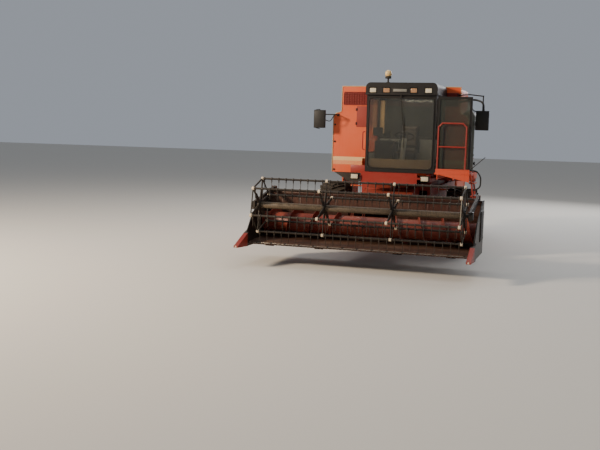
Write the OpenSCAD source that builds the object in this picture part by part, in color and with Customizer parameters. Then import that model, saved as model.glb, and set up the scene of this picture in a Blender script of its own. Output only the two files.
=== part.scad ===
// Axial combine harvester with a small grain header, a cab and a six bat pickup reel.
// The machine faces -Y. Its own left side is +X. The wheels stand on z = 0.
// Lengths are measured from the front axle, and the finished model is then centred in Y.

/* [Front wheels] */
// Radius of a front tyre over its lugs
front_tyre_r = 750; // [740:5:780]
// Width of a front tyre
front_tyre_w = 700; // [640:10:720]
// Radius at which a front tyre seats on its rim
front_rim_r = 335; // [310:5:360]
// Distance between the centres of the front tyres
front_track = 3040; // [3020:10:3080]
// Radius of a front wheel's shaft
front_shaft_r = 60; // [45:1:80]

/* [Rear wheels] */
// Radius of a rear tyre over its lugs
rear_tyre_r = 630; // [610:5:650]
// Width of a rear tyre
rear_tyre_w = 380; // [320:10:400]
// Radius at which a rear tyre seats on its rim
rear_rim_r = 305; // [280:5:320]
// Distance between the centres of the rear tyres
rear_track = 2500; // [2460:10:2560]
// Distance from the front axle to the rear axle
wheelbase = 3450; // [3400:10:3500]
// Distance of each steering kingpin from the middle
kingpin_x = 980; // [960:5:990]
// Radius of a kingpin
kingpin_r = 28; // [20:1:34]
// Radius of a rear wheel's shaft
rear_shaft_r = 40; // [30:1:48]
// Length of a steering arm behind its kingpin
steer_arm = 250; // [200:5:280]
// Radius of the ball stud at the end of a steering arm
steer_stud_r = 14; // [10:1:18]

/* [Wheels in general] */
// Height of a front tyre's lugs
front_lug_h = 42; // [30:1:50]
// Height of a rear tyre's lugs
rear_lug_h = 30; // [20:1:40]
// Thickness of a tread lug
lug_w = 58; // [45:1:70]
// Width of a front rim between its flanges
front_rim_w = 560; // [520:10:580]
// Width of a rear rim between its flanges
rear_rim_w = 290; // [260:10:300]
// Thickness of a rim's flange
flange_t = 12; // [8:1:16]
// Thickness of the rim's steel
rim_wall = 14; // [10:1:20]
// Height of the rim flange
flange_h = 20; // [12:1:28]

/* [Frame] */
// Half width of the threshing body that the frame rails hold
body_half = 740; // [700:5:750]
// Width of a frame rail
rail_w = 85; // [60:5:110]
// Underside of the frame rails
rail_z0 = 1300; // [1285:5:1320]
// Top of the frame rails
rail_z1 = 1480; // [1440:5:1500]
// Depth of the front axle beam
axle_beam_h = 220; // [180:10:240]
// Length of the front axle beam along the machine
axle_beam_l = 220; // [180:10:260]

/* [Threshing body] */
// Front wall of the body
body_front = -80; // [-90:5:-60]
// Length of the body behind the rear axle
body_tail = 200; // [150:10:250]
// Underside of the body between the wheels
body_low = 720; // [690:5:760]
// Top of the body
body_top = 2120; // [2080:10:2160]
// Thickness of the body's side sheets
body_wall = 20; // [12:1:30]

/* [Grain tank] */
// Half width of the grain tank
tank_half = 1610; // [1600:5:1650]
// Half width of the tank on the left, where the unloading auger lies beside it
tank_left = 1250; // [1200:5:1270]
// Front wall of the grain tank
tank_front = -100; // [-105:1:-95]
// Rear wall of the grain tank
tank_rear = 2400; // [2300:10:2440]
// Underside of the tank's side bins
tank_low = 1770; // [1740:5:1800]
// Height at which the tank's shoulders start
shoulder_z = 3070; // [3050:10:3090]
// Top of the grain tank
tank_top = 3210; // [3200:10:3240]
// Thickness of the tank's walls
tank_wall = 25; // [15:1:40]
// Half width of the extension above the tank
ext_half = 1410; // [1390:5:1415]
// Rear wall of the extension
ext_rear = 2200; // [2000:10:2300]
// Top of the extension
ext_top = 3815; // [3700:5:3850]

/* [Unloading auger] */
// Distance of the unloading auger's upright from the middle
unload_x = 1570; // [1568:1:1580]
// Distance of the upright behind the front axle
unload_y = 200; // [190:5:240]
// Radius of the unloading auger's tube
unload_r = 140; // [110:5:145]
// Height of the folded tube's axis
unload_z = 3150; // [3120:5:3180]
// Length of the folded tube along the machine
unload_len = 4900; // [4500:50:5100]
// Distance that the folded tube runs inward over its length
unload_in = 365; // [340:5:400]

/* [Cab] */
// Right side of the cab
cab_x0 = -479; // [-520:1:-460]
// Left side of the cab
cab_x1 = 1067; // [1050:1:1070]
// Front of the cab
cab_front = -1375; // [-1400:5:-1350]
// Rear wall of the cab
cab_rear = -150; // [-160:5:-140]
// Underside of the cab floor
cab_low = 1870; // [1860:5:1880]
// Top of the cab's walls
cab_high = 3560; // [3540:5:3580]
// Top of the cab roof
roof_top = 3830; // [3800:5:3850]
// Thickness of the cab's walls
cab_wall = 45; // [30:1:60]
// Width of the cab door
door_w = 756; // [700:2:770]
// Thickness of the cab door
door_t = 32; // [20:1:40]
// Thickness of the window panes
pane_t = 8; // [5:1:12]

/* [Platform] */
// Outer edge of the operator's platform
deck_x1 = 1850; // [1840:5:1870]
// Front edge of the platform
deck_front = -1500; // [-1520:5:-1490]
// Top of the platform
deck_z = 1900; // [1890:5:1910]
// Radius of the handrail's tube
handrail_r = 17; // [12:1:22]
// Top of the toe board in front of the platform
toe_z = 1990; // [1980:5:2000]
// Top of the front handrail
handrail_z = 2970; // [2900:10:3050]

/* [Rear end] */
// Length of the straw hood behind the body
hood_len = 1350; // [1250:10:1450]
// Underside of the straw hood
hood_low = 1350; // [1340:5:1400]
// Top of the straw hood
hood_top = 2350; // [2250:10:2400]
// Half width of the engine's hood
engine_hood_half = 1000; // [950:10:1050]
// Top of the engine's hood
engine_hood_top = 2950; // [2900:10:3000]
// Radius of the rotary air screen
screen_r = 360; // [320:5:380]

/* [Feeder] */
// Half width of the feeder house
feeder_half = 560; // [520:5:580]
// Distance of the feeder's pivot behind the front axle
feeder_pivot_y = -260; // [-270:5:-250]
// Height of the feeder's pivot
feeder_pivot_z = 1500; // [1490:5:1510]
// Radius of the feeder's trunnion pins
trunnion_r = 45; // [35:1:55]
// Front end of the feeder, where the header hangs
feeder_front = -2450; // [-2460:5:-2440]
// Thickness of the feeder's sheets
feeder_wall = 25; // [15:1:30]
// Radius of a lift cylinder's barrel
barrel_r = 50; // [40:1:60]
// Radius of a lift cylinder's rod
lift_rod_r = 30; // [22:1:34]

/* [Header] */
// Half width of the header over its end sheets
header_half = 2300; // [2280:5:2340]
// Top of the header's back sheet
header_top = 1420; // [1380:10:1450]
// Distance of the header auger's axis from the front axle
auger_y = -2860; // [-2870:2:-2850]
// Height of the header auger's axis
auger_z = 800; // [790:2:810]
// Radius over the header auger's flights
flight_r = 300; // [280:2:304]
// Radius of the header auger's tube
auger_tube_r = 200; // [150:5:220]
// Distance of the cutter bar's front edge from the front axle
knife_y = -3900; // [-3950:5:-3880]
// Height of the cutter bar
knife_z = 400; // [385:5:410]

/* [Reel] */
// Distance of the reel's axis from the front axle
reel_y = -3720; // [-3760:5:-3710]
// Height of the reel's axis
reel_z = 1210; // [1200:5:1260]
// Radius of the circle that the bats run on
reel_r = 542; // [520:2:546]
// Distance from the reel's ends to the header's ends
reel_end_gap = 210; // [200:5:260]
// Radius of the reel's middle tube
reel_tube_r = 62; // [45:1:80]
// Radius of a bat's tube
bat_r = 20; // [14:1:24]
// Length of a tine below its bat
tine_len = 190; // [150:5:195]
// Distance from one tine to the next
tine_step = 155; // [120:5:200]
// Number of bats round the reel
bat_count = 6; // [6:1:6]
// Angle of the first bat above the forward direction
bat_phase = 41.5; // [38:0.5:46]

/* [Fits] */
// Radial clearance of a turning shaft in its hole
shaft_fit = 0.05; // [0.02:0.01:0.1]
// Gap between pieces that lie against each other but may move
seat_gap = 0.3; // [0.2:0.1:0.5]
// Least gap beside a moving piece
run_gap = 8; // [6:1:12]

/* [Hidden] */
$fn = 64;
TINY = 1;

orange = [0.86, 0.42, 0.24];
red = [0.55, 0.16, 0.13];
black = [0.08, 0.07, 0.07];
grey = [0.45, 0.47, 0.45];
steel = [0.62, 0.62, 0.60];
rubber = [0.09, 0.09, 0.09];
tan_paint = [0.80, 0.68, 0.48];
smoked = [0.25, 0.30, 0.27, 0.6];

// The finished model is centred between the divider tips and the unloading spout.
divider_tip = knife_y - 560;
spout_r = unload_r + 10;
y_front = divider_tip;
y_rear = unload_y + unload_len - unload_r + spout_r;
centre_y = (y_front + y_rear) / 2;

body_rear = wheelbase + body_tail;
hood_rear = body_rear + hood_len;
reel_half = header_half - reel_end_gap;
front_x = front_track / 2;
rear_x = rear_track / 2;
rail_x = body_half + rail_w;
beam_top = front_tyre_r + axle_beam_h / 2;
beam_half = axle_beam_l / 2;
floor_z = cab_low + cab_wall;

// Box between two corners.
module box(x0, x1, y0, y1, z0, z1) {
    translate([x0, y0, z0]) cube([x1 - x0, y1 - y0, z1 - z0]);
}

// Round bar along X, from x0 to x1.
module x_bar(x0, x1, y, z, r) {
    translate([x0, y, z]) rotate([0, 90, 0]) cylinder(h = x1 - x0, r = r);
}

// Round bar along Y, from y0 to y1.
module y_bar(y0, y1, x, z, r) {
    translate([x, y0, z]) rotate([-90, 0, 0]) cylinder(h = y1 - y0, r = r);
}

// Upright round bar, from z0 to z1.
module z_bar(z0, z1, x, y, r) {
    translate([x, y, z0]) cylinder(h = z1 - z0, r = r);
}

// Round bar between two points.
module bar(p, q, r) {
    d = q - p;
    translate(p) rotate([0, acos(d[2] / norm(d)), atan2(d[1], d[0])]) cylinder(h = norm(d), r = r);
}

// Swell of the ball at a tube's bend over the tube.
bend_swell = 4;

// Bent tube through a list of points, with a ball in each bend.
module bent_tube(points, r) {
    for (i = [0 : len(points) - 2]) bar(points[i], points[i + 1], r);
    for (i = [1 : len(points) - 2]) translate(points[i]) sphere(r = r + bend_swell);
}

// Plate whose side view is drawn as (y, z), from x0 to x1.
module side_plate(points, x0, x1) {
    translate([x0, 0, 0]) rotate([90, 0, 90]) linear_extrude(x1 - x0) polygon(points);
}

// Plate whose front view is drawn as (x, z), from y0 to y1.
module front_plate(points, y0, y1) {
    translate([0, y1, 0]) rotate([90, 0, 0]) linear_extrude(y1 - y0) polygon(points);
}

// The same piece on both sides of the machine.
module both_sides() {
    children();
    mirror([1, 0, 0]) children();
}

// Moves a piece from the front axle's frame to the finished model's frame.
module placed() {
    translate([0, -centre_y, 0]) children();
}

// Tyre round the X axis, with two rows of slanted lugs whose tips lie on its radius.
lug_slant = 35;
front_lugs = 18;
rear_lugs = 20;
module tyre_ring(r, w, rim_r, rim_w, lug_h, lug_count) {
    s = (w - rim_w) / 2;
    bead = rim_r + seat_gap;
    side = bead + flange_h;
    tread = r - lug_h;
    half = [[bead, rim_w / 2], [side, rim_w / 2], [side, rim_w / 2 + s * 0.4],
        [side + s * 0.7, rim_w / 2 + s * 0.85], [side + s * 1.6, w / 2], [tread - s * 1.2, w / 2],
        [tread - s * 0.35, w / 2 - s * 0.25], [tread, w / 2 - s * 0.8]];
    other = [for (i = [len(half) - 1 : -1 : 0]) [half[i][0], -half[i][1]]];
    rotate([0, 90, 0]) rotate_extrude($fn = 96) polygon(concat(half, other));
    intersection() {
        x_bar(-w / 2, w / 2, 0, 0, r);
        for (t = [0, 1], i = [0 : lug_count - 1])
            mirror([t, 0, 0]) rotate([360 / lug_count * (i + t / 2), 0, 0])
            translate([w * 0.24, 0, tread - s * 0.45]) rotate(lug_slant)
                translate([-w * 0.28, -lug_w / 2, 0]) cube([w * 0.56, lug_w, lug_h + s]);
    }
}

// Rim round the X axis, with a dished disc and a bored hub. disc_x is the disc's place along X.
module rim(rim_r, rim_w, shaft_r, disc_x, hub_r, hub_x0, hub_x1) {
    disc_t = 18;
    rotate([0, 90, 0]) difference() {
        union() {
            rotate_extrude($fn = 96) translate([rim_r - rim_wall, 0]) {
                translate([0, -rim_w / 2 - flange_t]) square([rim_wall, rim_w + 2 * flange_t]);
                for (t = [0, 1]) mirror([0, t]) translate([rim_wall - TINY, rim_w / 2 + seat_gap])
                    square([flange_h + TINY, flange_t - seat_gap]);
            }
            translate([0, 0, disc_x]) cylinder(h = disc_t, r = rim_r - rim_wall / 2, $fn = 96);
            translate([0, 0, hub_x0]) cylinder(h = hub_x1 - hub_x0, r = hub_r);
        }
        translate([0, 0, -rim_w]) cylinder(h = 2 * rim_w, r = shaft_r + shaft_fit);
        for (a = [0 : 60 : 300]) rotate(a) translate([(rim_r + hub_r) / 2, 0, disc_x - TINY])
            cylinder(h = disc_t + 2 * TINY, r = rim_r * 0.11);
    }
}

front_hub_x0 = -110;
rear_hub_x0 = -90;
hub_x1 = 90;

module front_tyre() {
    color(rubber) translate([front_x, 0, front_tyre_r])
        tyre_ring(front_tyre_r, front_tyre_w, front_rim_r, front_rim_w, front_lug_h, front_lugs);
}

module front_rim() {
    color(tan_paint) translate([front_x, 0, front_tyre_r])
        rim(front_rim_r, front_rim_w, front_shaft_r, 20, 120, front_hub_x0, hub_x1);
}

module rear_tyre() {
    color(rubber) translate([rear_x, wheelbase, rear_tyre_r])
        tyre_ring(rear_tyre_r, rear_tyre_w, rear_rim_r, rear_rim_w, rear_lug_h, rear_lugs);
}

module rear_rim() {
    color(tan_paint) translate([rear_x, wheelbase, rear_tyre_r])
        rim(rear_rim_r, rear_rim_w, rear_shaft_r, 20, 80, rear_hub_x0, hub_x1);
}

// Axle beam with a final drive and a wheel shaft at each end.
drive_x0 = rail_x + 5;
drive_r = 200;
module front_axle() {
    color(red) {
        box(-drive_x0, drive_x0, -beam_half, beam_half, beam_top - axle_beam_h, beam_top);
        both_sides() {
            x_bar(drive_x0 - TINY, front_x + front_hub_x0 - 1, 0, front_tyre_r, drive_r);
            x_bar(front_x + front_hub_x0 - 2, front_x + hub_x1, 0, front_tyre_r, front_shaft_r);
            front_lift_lugs();
        }
    }
}

// The lift cylinders' lower pins, on lugs in front of the axle beam.
lift_x = 400;
lift_y0 = -230;
lift_z0 = 750;
lift_y1 = -1640;
lift_z1 = 560;
lift_pin_r = 18;
lift_eye_w = 64;
lug_t = 16;
module front_lift_lugs() {
    reach = lift_pin_r + 27;
    for (t = [-1, 1]) {
        x = lift_x + t * (lift_eye_w / 2 + run_gap + lug_t / 2);
        box(x - lug_t / 2, x + lug_t / 2, lift_y0, -beam_half + TINY, lift_z0 - reach, lift_z0 + reach);
        x_bar(x - lug_t / 2, x + lug_t / 2, lift_y0, lift_z0, reach);
    }
    x_bar(lift_x - lift_eye_w / 2 - run_gap - lug_t, lift_x + lift_eye_w / 2 + run_gap + lug_t,
        lift_y0, lift_z0, lift_pin_r);
}

// Rear axle beam with a fork and a kingpin at each end.
fork_h = 110;
fork_t = 30;
fork_r = 62;
fork_web = 45;
fork_l = 180;
axle_half_h = 70;
pivot_z = 1150;
pivot_r = 40;
pivot_boss_r = 80;
pivot_boss_l = 180;
module rear_axle() {
    color(red) {
        box(-kingpin_x + fork_l - TINY, kingpin_x - fork_l + TINY, wheelbase - 70, wheelbase + 70,
            rear_tyre_r - axle_half_h, rear_tyre_r + axle_half_h);
        both_sides() for (z = [-fork_h - fork_t, fork_h]) {
            box(kingpin_x - fork_l, kingpin_x, wheelbase - fork_r, wheelbase + fork_r,
                rear_tyre_r + z, rear_tyre_r + z + fork_t);
            z_bar(rear_tyre_r + z, rear_tyre_r + z + fork_t, kingpin_x, wheelbase, fork_r);
        }
        both_sides() box(kingpin_x - fork_l, kingpin_x - fork_r - 12, wheelbase - fork_web, wheelbase + fork_web,
            rear_tyre_r - fork_h - fork_t, rear_tyre_r + fork_h + fork_t);
        both_sides() z_bar(rear_tyre_r - fork_h - fork_t, rear_tyre_r + fork_h + fork_t,
            kingpin_x, wheelbase, kingpin_r);
        rear_hitch();
        difference() {
            union() {
                box(-pivot_boss_r, pivot_boss_r, wheelbase - pivot_boss_l / 2, wheelbase + pivot_boss_l / 2,
                    rear_tyre_r + axle_half_h - TINY, pivot_z);
                y_bar(wheelbase - pivot_boss_l / 2, wheelbase + pivot_boss_l / 2, 0, pivot_z, pivot_boss_r);
            }
            y_bar(wheelbase - pivot_boss_l, wheelbase + pivot_boss_l, 0, pivot_z, pivot_r + shaft_fit);
        }
    }
}

// Hitch plate behind the rear axle, above the track rod.
hitch_t = 30;
hitch_y = 410;
hitch_r = 16;
module rear_hitch() {
    z1 = rear_tyre_r + axle_half_h - 10;
    difference() {
        union() {
            box(-60, 60, wheelbase + axle_half_h - TINY, wheelbase + hitch_y, z1 - hitch_t, z1);
            z_bar(z1 - hitch_t, z1, 0, wheelbase + hitch_y, 60);
        }
        z_bar(z1 - hitch_t - TINY, z1 + TINY, 0, wheelbase + hitch_y, hitch_r);
    }
}

// Steering knuckle with its wheel shaft and its arm.
knuckle_r = 52;
stud_top = 46;
module knuckle() {
    h = fork_h - 5;
    color(red) {
        difference() {
            union() {
                z_bar(rear_tyre_r - h, rear_tyre_r + h, kingpin_x, wheelbase, knuckle_r);
                x_bar(kingpin_x, rear_x + rear_hub_x0 - 1, wheelbase, rear_tyre_r, rear_shaft_r + 10);
                x_bar(kingpin_x, rear_x + hub_x1, wheelbase, rear_tyre_r, rear_shaft_r);
                box(kingpin_x - 22, kingpin_x + 22, wheelbase, wheelbase + steer_arm,
                    rear_tyre_r - 95, rear_tyre_r - 65);
                z_bar(rear_tyre_r - 95, rear_tyre_r - 65, kingpin_x, wheelbase + steer_arm, 30);
            }
            z_bar(rear_tyre_r - h - TINY, rear_tyre_r + h + TINY, kingpin_x, wheelbase, kingpin_r + shaft_fit);
        }
        z_bar(rear_tyre_r - 65 - TINY, rear_tyre_r - 65 + stud_top, kingpin_x, wheelbase + steer_arm,
            steer_stud_r);
    }
}

// Track rod between the two steering arms.
module tie_rod() {
    z = rear_tyre_r - 65 + 5;
    h = 32;
    color(steel) difference() {
        union() {
            both_sides() z_bar(z, z + h, kingpin_x, wheelbase + steer_arm, 30);
            x_bar(-kingpin_x + 20, kingpin_x - 20, wheelbase + steer_arm, z + h / 2, 15);
        }
        both_sides() z_bar(z - TINY, z + h + TINY, kingpin_x, wheelbase + steer_arm, steer_stud_r + shaft_fit);
    }
}

// Rails, cross members, cab support and engine deck.
cross_z0 = 1680;
cross_z1 = 1760;
post_y0 = -200;
post_y1 = tank_front - 5;
panel_x0 = -570;
panel_x1 = 700;
panel_z0 = 1605;
panel_y = cab_front + 35;
deck_plate_z = body_top - 40;
deck_plate_half = 1300;
module main_frame() {
    color(red) {
        both_sides() {
            box(body_half, rail_x, post_y0, body_rear, rail_z0, rail_z1);
            box(body_half, rail_x, -beam_half, beam_half, beam_top, rail_z0 + TINY);
            box(body_half, rail_x, post_y0, post_y1, rail_z1 - TINY, cross_z1);
            for (y = [tank_rear + 100, body_rear - 120])
                box(body_half, rail_x, y, y + 80, rail_z1 - TINY, deck_plate_z + TINY);
            box(body_half, deck_plate_half, tank_rear + 10, body_rear, deck_plate_z, body_top);
            feeder_brackets();
        }
        box(-rail_x, deck_x1 - 20, post_y0, post_y1, cross_z0, cross_z1);
        for (x = [cab_x0 + 90, cab_x1 - 170]) box(x, x + 80, panel_y, post_y0 + TINY, cross_z0, cross_z1);
        for (x = [cab_x0 + 130, cab_x1 - 130], y = [cab_front + 120, cab_rear - 120])
            z_bar(cross_z1 - TINY, cab_low, x, y, 50);
        box(panel_x0, panel_x1, panel_y - 15, panel_y, panel_z0, cab_low - 5);
        box(lamp_x[0] - lamp_w / 4, lamp_x[1] + lamp_w / 4, panel_y - 15, panel_y + 30, lamp_z - 20, lamp_z + 20);
        box(-rail_x, rail_x, wheelbase - 70, wheelbase + 70, rail_z0, rail_z1);
        for (y = [wheelbase - pivot_boss_l / 2 - 40, wheelbase + pivot_boss_l / 2 + 5]) {
            box(-120, 120, y, y + 35, pivot_z - 70, rail_z0 + TINY);
            box(-120, 120, min(y, wheelbase), max(y + 35, wheelbase), rail_z0, rail_z0 + 40);
        }
        y_bar(wheelbase - pivot_boss_l / 2 - 50, wheelbase + pivot_boss_l / 2 + 50, 0, pivot_z, pivot_r);
    }
}

// Bored brackets that carry the feeder's trunnions.
bracket_t = 40;
module feeder_brackets() {
    x0 = feeder_half + 20;
    r = trunnion_r + 35;
    difference() {
        union() {
            x_bar(x0, x0 + bracket_t, feeder_pivot_y, feeder_pivot_z, r);
            box(x0, x0 + bracket_t, feeder_pivot_y, post_y1, feeder_pivot_z - r, feeder_pivot_z + r);
            box(x0, body_half + TINY, post_y0, post_y1, feeder_pivot_z - r, feeder_pivot_z + r);
        }
        x_bar(x0 - TINY, x0 + bracket_t + TINY, feeder_pivot_y, feeder_pivot_z, trunnion_r + shaft_fit);
    }
}

// Threshing body, hollow from the feeder's opening to the straw hood.
module separator_body() {
    outer = [[body_front, body_top], [body_front, 930], [150, 930], [400, body_low], [2600, body_low],
        [2800, 1050], [2800, rail_z1], [body_rear, rail_z1], [body_rear, body_top]];
    t = body_wall;
    inner = [[body_front - TINY, body_top - t], [body_front - TINY, 950], [150, 950], [400, body_low + t],
        [2590, body_low + t], [2780, 1060], [2780, rail_z1 + t], [body_rear + TINY, rail_z1 + t],
        [body_rear + TINY, body_top - t]];
    color(red) difference() {
        side_plate(outer, -body_half, body_half);
        side_plate(inner, -body_half + t, body_half - t);
    }
}

// Front view of the grain tank as (x, z), drawn smaller by o on all sides for the inside.
shoulder_in = 50;
shoulder_up = 100;
function tank_outline(o) = [
    [-tank_half + o, tank_low + o], [-tank_half + o, shoulder_z - o * 0.3],
    [-tank_half + shoulder_in + o * 0.7, shoulder_z + shoulder_up - o * 0.8],
    [-ext_half + o * 0.5, tank_top - o], [ext_half - o * 0.5, tank_top - o],
    [tank_half - shoulder_in - o * 0.7, shoulder_z + shoulder_up - o * 0.8],
    [tank_half - o, shoulder_z - o * 0.3], [tank_half - o, tank_low + o],
    [rail_x + 40 - o, tank_low + o], [rail_x + 40 - o, body_top + o], [-rail_x - 40 + o, body_top + o],
    [-rail_x - 40 + o, tank_low + o]];

// Grain tank, open at its top. Its left side stands back to leave room for the unloading auger.
cradle_y = tank_rear - 180;
module grain_tank() {
    w = tank_wall;
    color(orange) difference() {
        front_plate(tank_outline(0), tank_front, tank_rear);
        difference() {
            front_plate(tank_outline(w), tank_front + w, tank_rear - w);
            box(tank_left - w, tank_half + TINY, tank_front, tank_rear, tank_low - TINY, tank_top + TINY);
        }
        box(-ext_half + w, tank_left - w, tank_front + w, ext_rear - w, tank_top - w - TINY, tank_top + TINY);
        box(tank_left, tank_half + TINY, tank_front + w, tank_rear + TINY, tank_low - TINY, tank_top + TINY);
    }
    color(black) front_plate([[-tank_half + 50, tank_low + TINY], [-rail_x - 380, tank_low - 205],
        [-rail_x - 40, tank_low - 205], [-rail_x - 40, tank_low + TINY]], tank_front + 15, tank_front + 215);
    color(red) box(tank_left - TINY, unload_x, cradle_y, cradle_y + 80,
        unload_z - unload_r - 66, unload_z - unload_r - 6);
}

// Panel and walls above the tank. The left wall stands back behind the front panel.
module tank_extension() {
    w = 20;
    color(orange) difference() {
        union() {
            box(-ext_half, tank_left, tank_front, ext_rear, tank_top, ext_top);
            box(-ext_half, ext_half, tank_front, tank_front + w, tank_top, ext_top);
        }
        box(-ext_half + w, tank_left - w, tank_front + w, ext_rear - w, tank_top - TINY, ext_top + TINY);
    }
}

// Levelling auger in the tank, on a leaning tube from the floor.
level_x = -600;
level_y = (tank_front + tank_rear) / 2;
level_r = 130;
module tank_auger() {
    floor_top = body_top + tank_wall;
    color(steel) {
        bar([level_x, level_y, floor_top + 110], [0, level_y, tank_top - 90], level_r);
        z_bar(floor_top, floor_top + 120, level_x, level_y, level_r + 30);
        y_bar(tank_front + tank_wall, tank_rear - tank_wall, 0, floor_top + 60, 50);
    }
}

// Side panels below the tank, with the arms that hold them off the frame.
shield_t = 28;
shield_y0 = front_tyre_r + 100;
shield_low = 1000;
module side_shields() {
    z = (rail_z0 + rail_z1) / 2;
    color(orange) {
        for (x = [-tank_half + 2, tank_left - shield_t - 2])
            box(x, x + shield_t, shield_y0, tank_rear - 10, shield_low, tank_low);
        for (y = [shield_y0 + 150, tank_rear - 50]) {
            x_bar(-tank_half + shield_t, -rail_x, y, z, 18);
            x_bar(rail_x, tank_left - shield_t, y, z, 18);
        }
    }
}

// Engine as a plain block with its exhaust.
engine_x = 480;
exhaust_x = 620;
exhaust_y = tank_rear + 600;
exhaust_z = engine_hood_top - 350;
exhaust_r = 55;
module engine() {
    color(grey) {
        box(-engine_x, engine_x, tank_rear + 150, body_rear - 250, body_top, engine_hood_top - 180);
        x_bar(engine_x - TINY, exhaust_x + exhaust_r, exhaust_y, exhaust_z, exhaust_r);
        z_bar(exhaust_z - exhaust_r, ext_top - 175, exhaust_x, exhaust_y, exhaust_r);
    }
}

// Hollow hood over the engine, with a round opening at the right for the air screen.
engine_hood_y0 = tank_rear + 20;
screen_y = tank_rear + 600;
screen_z = body_top + 420;
module engine_hood() {
    t = 25;
    x = engine_hood_half;
    color(orange) difference() {
        union() {
            box(-x, x, engine_hood_y0, body_rear, body_top, engine_hood_top);
            x_bar(-x - 110, -x + TINY, screen_y, screen_z, screen_r + 35);
        }
        box(-x + t, x - t, engine_hood_y0 + t, body_rear - t, body_top - TINY, engine_hood_top - t);
        x_bar(-x - 110 - TINY, -x + t + TINY, screen_y, screen_z, screen_r + 15);
        z_bar(engine_hood_top - t - TINY, engine_hood_top + TINY, exhaust_x, exhaust_y, exhaust_r + 10);
    }
    color(grey) difference() {
        box(-x + t - TINY, -x + t + 30, screen_y - screen_r - 60, screen_y + screen_r + 60,
            screen_z - 30, screen_z + 30);
        x_bar(-x - 110, -x + 200, screen_y, screen_z, 22);
    }
    color(grey) x_bar(-x - 60, -x + t + 30, screen_y, screen_z, 22);
}

// Turning screen in front of the radiator.
module rotary_screen() {
    x = engine_hood_half;
    color(black) difference() {
        union() {
            x_bar(-x - 105, -x - 90, screen_y, screen_z, screen_r);
            x_bar(-x - 105, -x - 30, screen_y, screen_z, 50);
        }
        x_bar(-x - 62, -x, screen_y, screen_z, 22 + shaft_fit);
    }
}

// Straw hood, open in front and below.
module straw_hood() {
    t = body_wall;
    z0 = rail_z1;
    outer = [[body_rear, z0], [body_rear, hood_top], [hood_rear - 500, hood_top], [hood_rear, hood_top - 450],
        [hood_rear, hood_low], [hood_rear - 700, hood_low]];
    inner = [[body_rear - TINY, z0 + t], [body_rear - TINY, hood_top - t], [hood_rear - 510, hood_top - t],
        [hood_rear - t, hood_top - 460], [hood_rear - t, hood_low - TINY], [hood_rear - 690, hood_low - TINY]];
    color(orange) difference() {
        side_plate(outer, -body_half, body_half);
        side_plate(inner, -body_half + t, body_half - t);
    }
}

// Fuel tank below the engine deck on the left.
module fuel_tank() {
    color(black) {
        box(rail_x + 25, deck_plate_half - 10, tank_rear + 250, body_rear - 150, rail_z1 + 60, deck_plate_z);
        x_bar(deck_plate_half - 11, deck_plate_half + 40, body_rear - 260, deck_plate_z - 110, 30);
        x_bar(deck_plate_half + 39, deck_plate_half + 70, body_rear - 260, deck_plate_z - 110, 48);
    }
}

// Clean grain elevator on the right, from the body's floor up to the tank.
module grain_elevator() {
    y0 = 2080;
    y1 = 2320;
    x0 = -body_half - 240;
    color(red) {
        box(x0, -rail_x - 5, y0, y1, body_low + 60, tank_low);
        x_bar(x0, -rail_x - 5, (y0 + y1) / 2, body_low + 60, (y1 - y0) / 2);
        x_bar(-rail_x - 6, -body_half, (y0 + y1) / 2, body_low + 110, 90);
    }
}

// Cab shell: floor, walls, window openings and the door's opening.
door_y0 = cab_front + cab_wall;
door_y1 = cab_front + door_w;
hinge_x = cab_x1 + 16;
hinge_y = cab_front + 12;
module cab_shell() {
    w = cab_wall;
    color(black) {
        difference() {
            box(cab_x0, cab_x1, cab_front, cab_rear, cab_low, cab_high);
            box(cab_x0 + w, cab_x1 - w, cab_front + w, cab_rear - w, floor_z, cab_high + TINY);
            wind_screen(TINY);
            right_window(TINY);
            back_window(TINY);
            side_window(TINY);
            box(cab_x1 - w - TINY, cab_x1 + TINY, door_y0, door_y1 - 25, floor_z, cab_high - 60);
        }
        for (z = hinge_z) for (t = [-1, 1]) {
            z0 = z + (t > 0 ? 35 : -49);
            box(cab_x1 - TINY, hinge_x + 8, hinge_y - 9, hinge_y + 9, z0, z0 + 14);
        }
        for (z = hinge_z) z_bar(z - 49, z + 49, hinge_x, hinge_y, 6);
    }
}

// Window openings in the cab's walls, grown by g through the wall.
module wind_screen(g) {
    box(cab_x0 + 55, cab_x1 - 55, cab_front - g, cab_front + (g > 0 ? cab_wall + g : pane_t),
        cab_low + 90, cab_high - 60);
}
module right_window(g) {
    box(cab_x0 - g, cab_x0 + (g > 0 ? cab_wall + g : pane_t), cab_front + 110, cab_rear - 110,
        cab_low + 420, cab_high - 60);
}
module back_window(g) {
    box(cab_x0 + 110, cab_x1 - 110, cab_rear - (g > 0 ? cab_wall + g : pane_t), cab_rear + g,
        cab_low + 760, cab_high - 60);
}
module side_window(g) {
    box(cab_x1 - (g > 0 ? cab_wall + g : pane_t), cab_x1 + g, door_y1 + 40, cab_rear - 110,
        cab_low + 420, cab_high - 60);
}
module cab_glass() {
    color(smoked) {
        wind_screen(0);
        right_window(0);
        back_window(0);
        side_window(0);
    }
}

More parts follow.
